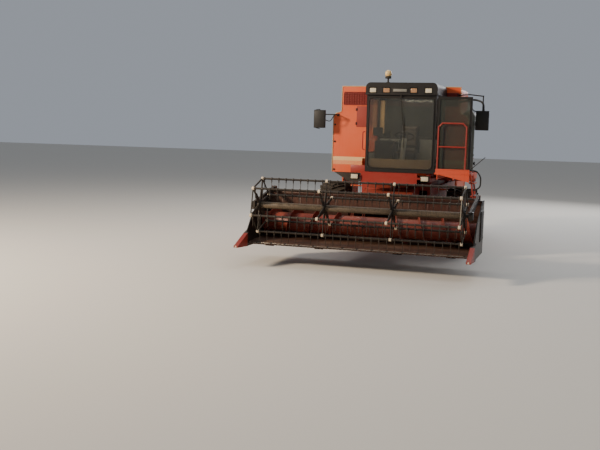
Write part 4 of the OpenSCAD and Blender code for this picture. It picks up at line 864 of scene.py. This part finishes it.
screen.data.transform(Matrix.Translation(spot(0, TRIM_Y, 3522)) @ Matrix.Rotation(math.pi / 2, 4, "X")
                      @ Matrix.Diagonal((2.70, 0.28, 1, 1)))
modified(screen, "WIREFRAME", thickness=0.014)
screen_frame = [seal((-1352, TRIM_Y), (1352, TRIM_Y), 3377, 3668, 9, 20),
                block(-1350, 1350, TANK_FRONT - 6, TANK_FRONT + 1, 3379, 3666, 0)]
piece("tank_screen", [screen] + screen_frame, "mesh_paint")

# %% Ribs on the tank's sides and the extension
ribs = []
for y in range(120, 2201, 260):
    ribs += [block(-EXT_HALF - 12, -EXT_HALF + 2, y, y + 40, 3240, EXT_TOP - 40, 6),
             block(TANK_LEFT - 2, TANK_LEFT + 12, y, y + 40, 3340, EXT_TOP - 40, 6)]
for z in (2300, 2700):
    ribs += [block(-TANK_HALF - 10, -TANK_HALF + 2, 150, 2250, z, z + 34, 5),
             block(TANK_LEFT - 2, TANK_LEFT + 10, 430, 2250, z, z + 34, 5)]
piece("tank_ribs", ribs, "orange_paint")
tank_bolts = [bolt(x, 2402, z, "+Y") for x in (-1450, -950, 950) for z in (1850, 2950)]
for y in (700, 1200, 1700, 2300):
    for z in (1820, 2950):
        tank_bolts += [bolt(-TANK_HALF - 1, y, z, "-X"), bolt(TANK_LEFT + 1, y, z, "+X")]
piece("tank_bolts", tank_bolts, "bare_steel")

# %% [markdown]
# ## Side panels and hoods
# The side panels are pressed sheet: ribs keep them stiff, and turn-locks hold them. The engine hood has
# rows of louvres that let the heat out. A louvre is a short bar with a sloping face, copied in rows.

# %% Pressed ribs, turn-locks and louvres
panel_parts, locks = [], []
for side, face in ((-1, -1608), (1, 1248)):
    for z in (1140, 1380, 1620):
        panel_parts.append(block(*sorted((face, face + side * 12)), 960, 2330, z, z + 40, 6))
    for y in (890, 2330):
        panel_parts.append(block(*sorted((face - side * 2, face + side * 14)), y, y + 30, 1030, 1740, 6))
    locks += [across(face - side * 2, face + side * 24, y, z, 24, 20, 5)
              for y in (1010, 2270) for z in (1080, 1700)]
piece("panel_ribs", panel_parts, "orange_paint")
piece("panel_locks", locks, "black_paint")
side_slat = turned(block(996, 1016, 2560, 3500, 2330, 2356, 3), -24, "Y", 1000, 0, 2330)
slats = copies(side_slat, [(0, 0, 48 * i) for i in range(1, 10)])
slats += [block(-700, 700, 3646, 3668, z, z + 22, 5) for z in range(2300, 2801, 50)]
piece("hood_louvres", slats, "dark_trim")
hood_trim = [block(-1004, 1004, 2440, 2452, 2948, 2962, 3), block(-1004, 1004, 3630, 3652, 2944, 2960, 4)]
hood_trim += mirrored([tube([(1003, 2470, 2930), (1003, 3640, 2930)], 8, 5)])
piece("hood_trim", hood_trim, "tan_trim_and_highlight")

# %% Screen of the rotary air cleaner
CLEANER = (3000, 2540)
clear()
bpy.ops.mesh.primitive_circle_add(vertices=48, radius=0.352, fill_type="TRIFAN")
web = edit((bpy.ops.mesh.subdivide, {"number_cuts": 4}))
web.data.transform(Matrix.Translation(spot(-1112, *CLEANER)) @ Matrix.Rotation(math.pi / 2, 4, "Y"))
modified(web, "WIREFRAME", thickness=0.006)
cleaner = [web, across(-1104, -1120, *CLEANER, 70, 32, 6)]
cleaner += [rod((-1108, *CLEANER), (-1108, *end), 9, 10, 0) for end in circle(6, 350, *CLEANER)]
piece("air_screen_net", cleaner, "engine_metal", "rotary_screen")

# %% Exhaust pipe
exhaust = [upright(620, 3000, 2960, 3420, 92, 32, 16),
           tube([(620, 3000, 3400), (620, 3000, 3640), (690, 3070, 3720)], 56, 90, 6),
           upright(620, 3000, 2950, 2972, 118, 32, 3)]
piece("exhaust_pipe", exhaust, "exhaust_metal")

# %% Straw hood's seams and curtain
seams = [block(-742, 742, y, y + 26, 2349, 2358, 3) for y in (3700, 4060, 4420)]
seams += mirrored([block(739, 750, y, y + 30, low, 2330, 5)
                   for y, low in ((3720, 1500), (4080, 1500), (4440, 1390), (4800, 1390))])
piece("straw_hood_seams", seams, "orange_paint")
curtain = [block(-700, 700, 4985, 4996, 1220, 1420, 4)]
curtain += [block(x, x + 10, 4982, 4999, 1215, 1400, 2) for x in range(-620, 621, 155)]
piece("straw_curtain", curtain, "black_rubber")

# %% [markdown]
# ## Driver's place
# The seat's pads are foam under cloth. Each starts as a rounded block a little smaller than its place,
# a cloth simulation blows it up, and sewn channels are pressed in after that. The levers, the monitor
# and the wheel's column are hard pieces that show through the windscreen.

# %% Swelling a pad
PAD_VOXEL, AIR_PRESSURE, SWELL_REACH, SEAM_WIDTH = 0.006, 4, 0.022, 0.009


def swell(made):
    """Blows a closed pad up with air pressure. No point moves further than the reach."""
    joined([made])
    made.data.remesh_voxel_size = PAD_VOXEL
    bpy.ops.object.voxel_remesh()
    before = [vertex.co.copy() for vertex in made.data.vertices]
    cloth = made.modifiers.new("cloth", "CLOTH")
    cloth.settings.use_pressure = True
    cloth.settings.uniform_pressure_force = AIR_PRESSURE
    cloth.settings.effector_weights.gravity = 0
    for step in range(1, 21):
        bpy.context.scene.frame_set(step)
    bpy.ops.object.modifier_apply(modifier="cloth")
    bpy.context.scene.frame_set(1)
    for vertex, start in zip(made.data.vertices, before):
        moved = vertex.co - start
        if moved.length > SWELL_REACH:
            vertex.co = start + moved * (SWELL_REACH / moved.length)
    return made


def channels(made, axis, places, depth, normal_axis, sign):
    """Presses sewn channels into one face of a pad. Each place is a length in metres along the axis."""
    for vertex in made.data.vertices:
        if vertex.normal[normal_axis] * sign > 0.3:
            near = min(abs(vertex.co[axis] - place) for place in places)
            vertex.co[normal_axis] -= sign * depth * math.exp(-((near / SEAM_WIDTH) ** 2))


print("a pad's points move by", SWELL_REACH, "m at most")


# %% Seat: cushion, backrest and their pan
SEAT_FRONT, SEAT_BACK, SEAT_LOW = -730, -250, 2275


def seat_block(half, y0, y1, low, high, edge, segments=2):
    """A block across the seat's middle, with its heights counted from the seat's underside."""
    z0, z1 = SEAT_LOW + low, SEAT_LOW + high
    return block(CAB_MIDDLE - half, CAB_MIDDLE + half, y0, y1, z0, z1, edge, segments)


cushion = swell(seat_block(216, SEAT_FRONT + 16, -372, 32, 104, 30, 4))
channels(cushion, 0, (0.164, 0.424), 0.012, 2, 1)
back_rest = swell(seat_block(196, -336, -276, 138, 630, 26, 4))
channels(back_rest, 2, (2.56, 2.70, 2.80), 0.010, 1, -1)
for name, pad in (("seat_cushion", cushion), ("seat_backrest", back_rest)):
    made = piece(name, [pad], "seat_cloth", smooth=60)
    modified(made, "SUBSURF", levels=1, render_levels=1)
    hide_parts("seat")
pan = [seat_block(236, SEAT_FRONT + 4, SEAT_BACK - 4, 0, 26, 10, 3),
       seat_block(212, SEAT_BACK - 12, SEAT_BACK, 22, 646, 5)]
for x in (CAB_MIDDLE - 226, CAB_MIDDLE + 226):
    pan.append(block(x - 12, x + 12, -300, SEAT_BACK, SEAT_LOW + 20, SEAT_LOW + 300, 6))
piece("seat_pan", pan, "dark_trim")

# %% Column, levers and monitor
column = [rod((CAB_MIDDLE, -1138, 1985), (CAB_MIDDLE, -874, 2618), 56, 24, 6),
          rod((CAB_MIDDLE, -1150, 1950), (CAB_MIDDLE, -1128, 2006), 74, 24, 12)]
piece("column_cover", column, "grey_trim")
console = [block(-398, 8, -804, -236, 2534, 2552, 8, 3), block(-120, -40, -720, -640, 2550, 2570, 8, 3),
           tube([(-80, -680, 2560), (-80, -690, 2660), (-90, -720, 2715)], 11, 40),
           rod((-92, -722, 2700), (-82, -736, 2790), 27, 18, 9)]
console += [upright(x, -660, 2550, 2562, 14, 12, 3) for x in (-300, -250, -200, -150)]
console += [tube([(-330, -560, 2550), (-335, -800, 2640), (-340, -900, 2720)], 12, 90),
            block(-430, -200, -925, -890, 2660, 2850, 14, 3)]
piece("console_fittings", console, "dark_trim")
piece("monitor_screen", [block(-412, -218, -890, -884, 2678, 2832, 4)], "mirror_glass")
arm_rest = [block(10, 74, -640, -300, 2490, 2530, 14, 3), block(14, 36, -330, -290, 2300, 2496, 6)]
piece("armrest", arm_rest, "dark_trim")
lining = [block(-434, 1022, -204, -196, 1920, 2600, 3), block(-432, -424, -1240, -220, 1920, 2270, 3),
          block(-434, 1022, -1250, -200, 1915, 1927, 3)]
piece("cab_lining", lining, "grey_trim")
# The pale strip on the cab's rear post is a painted highlight of a sunlit corner.
piece("post_highlight_strip", [block(-434, -330, -234, -206, 2720, 3480, 10, 3)], "tan_trim_and_highlight")
piece("kick_panel", [block(-430, 1018, -1338, -1326, 1930, 2160, 5)], "kick_brown")

# %% [markdown]
# ## Platform and ladder
# The platform is a steel plate with raised bars that give a boot its hold. The ladder's treads have
# the same bars on their top. A curved handle stands out from the ladder, and a thin rod from the toe
# board.

# %% Tread plates, handle and rod
DECK_X, DECK_FRONT, DECK_Z = 1150, -1500, 1900
LADDER_LOW, LADDER_X, LADDER_LEAN, LADDER_STEPS = 480, 2070, 205, 5
bar = block(DECK_X + 24, DECK_X + 60, DECK_FRONT + 30, DECK_FRONT + 38, DECK_Z - 1, DECK_Z + 5, 1.5, 1)
moves = [(44 * column + 22 * (row % 2), 29 * row, 0) for row in range(46) for column in range(15)]
piece("platform_tread", copies(bar, moves[1:]), "red_paint")
steps = []
for number in range(LADDER_STEPS):
    share = (number + 0.3) / LADDER_STEPS
    x, z = LADDER_X - LADDER_LEAN * share, LADDER_LOW + (DECK_Z - LADDER_LOW) * share
    steps += [block(x + shift - 4, x + shift + 4, -1368, -992, z + 13, z + 22, 2, 1)
              for shift in (-50, -25, 0, 25, 50)]
    steps += [bolt(x, y, z, way, 9, 6) for y, way in ((-1402, "-Y"), (-958, "+Y"))]
piece("ladder_treads", steps, "black_paint")
handle = ((1846, 1970), (1990, 1972), (2084, 1840), (2078, 1610), (1912, 1540))
piece("ladder_handle", [tube([(x, -1380, z) for x, z in handle], 16, 110)], "black_paint")
marker = [(1838, -1492, 1960), (1860, -1492, 1990), (2170, -1470, 2272)]
piece("marker_rod", [tube(marker, 8, 30)], "black_paint")
clamps = [upright(x, -1465, z, z + 26, 26, 20, 4) for x in (1150, 1750) for z in (1902, 2200)]
piece("rail_clamps", clamps, "red_paint")
toe = [block(1125, 1845, -1507, -1499, low, high, 3) for low, high in ((1970, 1988), (1880, 1894))]
toe += [bolt(x, -1500, 1930, "-Y", 10, 7) for x in (1200, 1420, 1640, 1800)]
piece("toe_board_trim", toe, "platform_paint")

# %% [markdown]
# ## Handles and brackets on the tank's front
# The grab handle beside the hatch has a pale plastic sleeve. The mirrors hang from bent tubes, and the
# right one has a bracket of its own behind the glass.

# %% Grab handle and mirror brackets
GRIP_Y = TANK_FRONT - 62
grab = [tube([(-560, TANK_FRONT + 2, 3052), (-560, GRIP_Y, 3046), (-560, GRIP_Y, 2774),
              (-560, TANK_FRONT + 2, 2768)], 13, 30)]
grab += [block(-590, -530, TANK_FRONT - 10, TANK_FRONT + 2, z - 28, z + 28, 4) for z in (3052, 2768)]
piece("grab_handle", grab, "red_paint")
piece("grab_sleeve", [upright(-560, GRIP_Y, 2800, 2880, 17, 20, 5)], "bearing_cream")
hanger = ((-1860, 3250), (-1992, 3230), (-1992, 2815), (-1860, 2790))
brackets = [tube([(1390, TANK_FRONT - 6, 3470), (1640, -560, 3500), (1850, -900, 3500), (2020, -972, 3440),
                  (2030, -972, 3240)], 22, 90),
            tube([(1640, -560, 3500), (1800, -880, 3260), (1900, -972, 3240)], 14, 60),
            tube([(-1500, -395, 3130), (-1600, -395, 2960), (-1760, -395, 3010)], 10, 60),
            tube([(x, -382, z) for x, z in hanger], 9, 40)]
piece("mirror_brackets", brackets, "black_paint")

# %% [markdown]
# ## Header
# The auger gathers the crop to the middle, so its flights are two helices of opposite hand, each a thin
# ribbon swept round the tube. Between them the fingers push the crop into the feeder. The cutter bar
# has a row of pointed guards in the solids, and here it gets its knife.

# %% Auger with its flights and fingers
AUGER_Y, AUGER_Z, TUBE_R, FLIGHT_R, FLIGHT_SUNK, HEADER_HALF = -2860, 800, 200, 300, 6, 2300


def flight(x0, x1, turns, thickness):
    """A helical ribbon round the auger's tube from one x to another."""
    clear()
    bpy.ops.mesh.primitive_plane_add(size=1)
    made = bpy.context.object
    made.data.transform(Matrix.Diagonal((0.001, 0.001, 1, 1)))
    width = (FLIGHT_R - TUBE_R + FLIGHT_SUNK) / 1000
    edit((bpy.ops.mesh.select_mode, {"type": "VERT"}), (bpy.ops.mesh.merge, {"type": "CENTER"}),
         (bpy.ops.mesh.extrude_region_move, {"TRANSFORM_OT_translate": {"value": (0, 0, width)}}))
    made.data.transform(Matrix.Translation((0, 0, (TUBE_R - FLIGHT_SUNK) / 1000)))
    count = round(36 * turns)
    modified(made, "SCREW", axis="X", angle=math.tau * turns, screw_offset=(x1 - x0) / 1000, steps=count,
             render_steps=count, use_merge_vertices=False)
    modified(made, "SOLIDIFY", thickness=thickness / 1000)
    made.data.transform(Matrix.Translation(spot(x0, AUGER_Y, AUGER_Z)))
    return edit(FACE_OUT)


auger = [across(-half, half, AUGER_Y, AUGER_Z, radius, sides, edge)
         for half, radius, sides, edge in ((2270, TUBE_R, 48, 6), (2298, 30, 20, 1))]
auger += mirrored([flight(580, 2262, 3.5, 7)])
for number in range(6):
    for x in (60 * number - 360, 60 * number - 320):
        finger = upright(x, AUGER_Y, AUGER_Z + 190, AUGER_Z + FLIGHT_R - 1, 9, 10, 3)
        guide = upright(x, AUGER_Y, AUGER_Z + 195, AUGER_Z + 210, 22, 14, 3)
        auger += [turned(part, 90 * number, "X", 0, AUGER_Y, AUGER_Z) for part in (finger, guide)]
auger_piece = piece("feed_auger", auger, "auger_red", "header_auger", 40)
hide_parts("header_auger")

# %% Knife, its clips and the skids
KNIFE_Y, KNIFE_Z, KNIFE_STEP, KNIFE_COUNT = -3900, 400, 76.2, 58
clear()
bpy.ops.mesh.primitive_cylinder_add(vertices=3, radius=0.044, depth=0.004)
section = bpy.context.object
section.data.transform(Matrix.Translation(spot(-2202, KNIFE_Y + 66, KNIFE_Z + 40))
                       @ Matrix.Diagonal((0.9, 1.1, 1, 1)) @ Matrix.Rotation(math.pi, 4, "Z"))
knife = copies(section, [(KNIFE_STEP * i, 0, 0) for i in range(1, KNIFE_COUNT)])
knife.append(block(-2262, 2262, KNIFE_Y + 84, KNIFE_Y + 106, KNIFE_Z + 38, KNIFE_Z + 46, 1))
piece("knife", knife, "bare_steel", "header", 20)
clips = [block(x, x + 34, KNIFE_Y + 74, KNIFE_Y + 150, KNIFE_Z + 44, KNIFE_Z + 56, 3)
         for x in range(-2100, 2101, 300)]
piece("knife_clips", clips, "black_paint", "header")
skids = []
for x in (-1850, -800, 800, 1850):
    skids += [turned(block(x - 90, x + 90, -3690, -3240, 398, 410, 4), 6, "X", 0, -3460, 404),
              block(x - 90, x + 90, -3240, -2640, 440, 452, 4),
              block(x - 20, x + 20, -3180, -2760, 450, 470, 3)]
piece("skid_shoes", skids, "black_paint", "header")

# %% Back sheet's stiffeners, end sheets' trim and drive cover
back = [block(x, x + 40, -2545, -2529, 760, 1300, 4)
        for x in (-2000, -1600, -1200, -800, 760, 1160, 1560, 1960)]
back += [block(-2270, 2270, -2552, -2536, 1392, 1412, 4), block(-2270, 2270, -2557, -2540, 1090, 1112, 4)]
back += [bolt(x, -2553, 1402, "-Y", 9, 6) for x in range(-2160, 2161, 360)]
piece("back_stiffeners", back, "header_shade_paint", "header")
rim = ((-3930, 380), (-3934, 560), (-3550, 1004), (-2650, 1424), (-2460, 1424))
rims = mirrored([tube([(HEADER_HALF - 10, y, z) for y, z in rim], 14, 60)])
piece("end_sheet_rims", rims, "black_paint", "header")
cover = [block(HEADER_HALF - 2, HEADER_HALF + 22, -3030, -2600, 660, 1240, 14, 3),
         across(HEADER_HALF, HEADER_HALF + 24, AUGER_Y, AUGER_Z, 118, 36, 8)]
cover += [bolt(HEADER_HALF + 20, y, z, "+X", 9, 4) for y in (-2990, -2640) for z in (700, 1200)]
piece("drive_cover", cover, "black_paint", "header")
end_bolts = []
for y, z in ((-3600, 520), (-3300, 700), (-3100, 1050), (-2700, 1320), (-2560, 560)):
    end_bolts += side_bolts(HEADER_HALF - 1, y, z, 11, 7)
piece("end_sheet_bolts", end_bolts, "bare_steel", "header")
caps = mirrored([rod((2280, -4462, 415), (2280, -4380, 428), 20, 18, 8),
                 block(2237, 2323, -3960, -3934, 376, 630, 6)])
piece("divider_caps", caps, "bearing_cream", "header")

# %% [markdown]
# ## Reel
# Six tubes carry the spring tines, and pale nylon bearings hold the tubes in the spiders. A tine ends in
# a coil that wraps its tube. The end spiders are braced by a light six-sided rim.

# %% Bearings, sleeves and rim strips
REEL_Y, REEL_Z, REEL_R, REEL_HALF, SPIDER_OUT = -3720, 1210, 542, 2090, 2060
SPIDERS = (-SPIDER_OUT, -SPIDER_OUT / 3, SPIDER_OUT / 3, SPIDER_OUT)
BAT_ANGLES = [math.radians(41.5 + 60 * i) for i in range(6)]


def on_reel(radius, angle):
    """The y and z at a radius from the reel's shaft, at an angle up from straight ahead."""
    return REEL_Y - radius * math.cos(angle), REEL_Z + radius * math.sin(angle)


BATS = [on_reel(REEL_R, angle) for angle in BAT_ANGLES]
bearings = [across(x - 24, x + 24, y, z, 35, 18, 5) for x in SPIDERS for y, z in BATS]
piece("reel_bearings", bearings, "bearing_cream", "reel", 40)
hubs = []
for x in SPIDERS:
    hubs.append(across(x - 22, x + 22, REEL_Y, REEL_Z, 118, 30, 6))
    for angle in BAT_ANGLES:
        gusset = block(x - 12, x + 12, REEL_Y - 330, REEL_Y - 90, REEL_Z - 46, REEL_Z + 46, 5)
        y, z = on_reel(88, angle)
        hubs += [turned(gusset, -math.degrees(angle), "X", 0, REEL_Y, REEL_Z),
                 across(x - 32, x + 32, y, z, 12, 6, 2)]
piece("reel_hubs", hubs, "reel_paint", "reel")
# The sleeves' pale tops and dark undersides come partly from dust and partly from painted light.
sleeves = [across(x0 + 30, x1 - 30, REEL_Y, REEL_Z, 66, 32, 4)
           for x0, x1 in zip(SPIDERS, SPIDERS[1:])]
piece("reel_sleeves", sleeves, "sleeve_dust_and_lit_top", "reel")
strips = []
for x in (-SPIDER_OUT - 7, SPIDER_OUT + 7):
    for start, end in zip(BATS, BATS[1:] + BATS[:1]):
        run, middle = Vector(end) - Vector(start), (Vector(start) + Vector(end)) / 2
        reach = (run.length - 84) / 2
        bar = block(x - 5, x + 5, middle.x - reach, middle.x + reach, middle.y - 17, middle.y + 17, 3)
        strips.append(turned(bar, math.degrees(math.atan2(run.y, run.x)), "X", 0, middle.x, middle.y))
# One rim strip is pale as a painted highlight where it catches the light; the others stay black.
piece("reel_rim_strips", strips[:-1], "reel_paint", "reel")
piece("reel_highlight_strip", strips[-1:], "strip_highlight", "reel")

# %% Tines' coils on each bat
first_tine = -REEL_HALF + 75
tine_places = [first_tine + 155 * i for i in range(27)]
tine_places = [x for x in tine_places if min(abs(x - spider) for spider in SPIDERS) > 40]
first_tine, shifts = tine_places[0], [(x - tine_places[0], 0, 0) for x in tine_places[1:]]
for number, (y, z) in enumerate(BATS, 1):
    coils = copies(across(first_tine - 14, first_tine + 14, y, z, 29, 12, 4), shifts)
    coils += copies(block(first_tine - 9, first_tine + 9, y - 11, y + 11, z - 74, z - 20, 4, 1), shifts)
    piece(f"tine_coils_{number}", coils, "tine_grey", f"reel_bat_{number}", 40)

# %% Reel arms: caps, struts and drive cover
ARM_X = HEADER_HALF - 120
arms = mirrored([across(ARM_X + 24, ARM_X + 52, REEL_Y, REEL_Z, 62, 30, 8),
                 block(ARM_X - 25, ARM_X + 31, -3800, -3640, 1120, 1160, 5),
                 turned(block(ARM_X + 22, ARM_X + 30, -3560, -2660, 1366, 1400, 3),
                        12.3, "X", 0, -3110, 1383)])
piece("reel_arm_caps", arms, "reel_paint", "reel_arms")
drive = block(ARM_X + 30, ARM_X + 62, -3800, -3640, 1130, 1290, 16, 3)
piece("reel_drive_cover", [drive], "black_paint", "reel_arms")

# %% [markdown]
# ## Feeder, cylinders and axle
# The feeder house is stiffened by pressed ribs across its top and along its sides. Each lift cylinder
# has a gland at its mouth and a rigid pipe clamped to the barrel.

# %% Feeder ribs and lids
FEEDER_HALF, FEEDER_RISE, FEEDER_RUN, FEEDER_TOP_Y, FEEDER_TOP_Z = 558, 440, 2130, -320, 1560
feeder = []
for y in (-2200, -1750, -1300, -850):
    z = FEEDER_TOP_Z + (y - FEEDER_TOP_Y) * FEEDER_RISE / FEEDER_RUN
    rib = block(-566, 566, y, y + 50, z - 4, z + 14, 6)
    feeder.append(turned(rib, math.degrees(math.atan2(FEEDER_RISE, FEEDER_RUN)), "X", 0, y, z))
side_ribs = [turned(block(FEEDER_HALF, 572, -2380, -500, 1040, 1080, 5), 14.5, "X", 0, -1440, 1060)]
side_ribs += [block(FEEDER_HALF, 571, y, y + 44, low, high, 5)
              for y, low, high in ((-2250, 520, 1120), (-1500, 760, 1260), (-800, 980, 1400))]
piece("feeder_ribs", feeder + mirrored(side_ribs), "red_paint", "header")
lids = mirrored([block(FEEDER_HALF, 568, -2120, -1640, 700, 980, 8)])
piece("feeder_lids", lids, "black_paint", "header")
lid_bolts = []
for y in (-2095, -1665):
    for z in (725, 955):
        lid_bolts += side_bolts(567, y, z, 9, 6)
piece("feeder_bolts", lid_bolts, "bare_steel", "header")

# %% Lift cylinders' glands and pipes
START, END, PIPE_UP = Vector((400, -230, 750)), Vector((400, -1640, 560)), Vector((0, 0, 66))
WAY = (END - START).normalized()


def on_cylinder(low, high, radius, sides, edge):
    """A ring round the barrel between two lengths along it."""
    return rod(START + WAY * low, START + WAY * high, radius, sides, edge)


glands = [on_cylinder(858, 902, 58, 28, 5), on_cylinder(62, 84, 57, 28, 5)]
pipe_path = ((120, 0.7), (150, 1.1), (800, 1.1), (830, 0.7))
pipe = [tube([START + WAY * along + PIPE_UP * up for along, up in pipe_path], 9, 20)]
pipe += [on_cylinder(s, s + 26, 55, 24, 3) for s in (300, 620)]
piece("cylinder_glands", mirrored(glands), "black_paint", "lift_barrels")
piece("cylinder_pipes", mirrored(pipe), "dark_trim", "lift_barrels")

# %% Final drives and axle bolts
drives = []
for y, z in circle(12, 172, 0, FRONT_Z):
    drives += [across(826, 842, y, z, 13, 6, 2), across(1404, 1412, y, z, 13, 6, 2)]
piece("final_drive_bolts", mirrored(drives), "bare_steel")
bands = [across(x, x + 40, 0, FRONT_Z, 207, 40, 6) for x in (900, 1180)]
piece("final_drive_bands", mirrored(bands), "red_paint")
piece("axle_pads", mirrored([block(752, 826, -112, 112, 872, 884, 3)]), "black_paint")
rear = [upright(980, REAR_Y, low, high, 50, 28, 5) for low, high in ((765, 782), (478, 492))]
rear += [bolt(x, 3379, REAR_Z + shift, "-Y", 12, 8) for x in (250, 500, 700) for shift in (-40, 40)]
piece("rear_axle_caps", mirrored(rear), "red_paint")

# %% [markdown]
# ## Unloading auger and the right side
# Clamp bands join the auger's tube sections, and a rubber sleeve hangs from its spout. The clean grain
# elevator gets its bolted covers.

# %% Bands, brackets and rubber sleeve
UPRIGHT, SPOUT, UNLOAD_Z = (1570, 200), (1205, 4960), 3150
begin, end = Vector((*UPRIGHT, UNLOAD_Z)), Vector((*SPOUT, UNLOAD_Z))
way = (end - begin).normalized()
bands = []
for share in (0.06, 0.3, 0.52, 0.74, 0.95):
    place = begin + (end - begin) * share
    bands += [rod(place - way * 22, place + way * 22, 148, 40, 4),
              block(place.x - 26, place.x + 26, place.y - 20, place.y + 20, 3290, 3312, 4)]
bands.append(upright(*UPRIGHT, 3030, 3046, 160, 40, 4))
bands += [upright(*place, 2942, 3052, 8, 6, 1) for place in circle(12, 151, *UPRIGHT)]
piece("unload_bands", bands, "unload_band", "unload_tube")
sleeve = [upright(*SPOUT, 2884, 3010, 157, 36, 5), upright(*SPOUT, 2990, 3012, 162, 36, 4)]
piece("spout_sleeve", sleeve, "black_rubber", "unload_tube")
clamp = [block(1240, 1420, 170, 230, z, z + 14, 3) for z in (1908, 2846)]
clamp += [upright(*UPRIGHT, z, z + 34, 149, 40, 4) for z in (1930, 2420, 2856)]
piece("upright_clamps", clamp, "auger_grey")

# %% Elevator covers, fuel tank straps and deck rail
elevator = [block(-988, -978, 2100, 2300, z, z + 300, 5) for z in (860, 1200, 1440)]
elevator += [block(-975, -830, 2068, 2081, z, z + 26, 3) for z in (900, 1180, 1460)]
piece("elevator_covers", elevator, "red_paint")
elevator_bolts = [bolt(-987, y, z, "-X", 9, 6) for y in (2120, 2280) for z in (885, 1135, 1225, 1475, 1715)]
piece("elevator_bolts", elevator_bolts, "bare_steel")
straps = [block(1288, 1296, y, y + 50, 1540, 2078, 3) for y in (2760, 3100, 3400)]
piece("fuel_tank_straps", straps, "black_rubber")
RAIL_X, RAIL_FRONT, RAIL_REAR = 1060, 2440, 3630
rail = [(RAIL_FRONT, 2116), (RAIL_FRONT, 2900), (RAIL_FRONT, 3040), (RAIL_REAR, 3040), (RAIL_REAR, 2116)]
rails = [tube([(RAIL_X, y, z) for y, z in rail], 16, 120),
         tube([(RAIL_X, 3040, 2116), (RAIL_X, 3040, 3038)], 14, 10),
         tube([(RAIL_X, RAIL_FRONT, 2580), (RAIL_X, RAIL_REAR, 2580)], 13, 10)]
piece("deck_rail", rails, "red_paint")
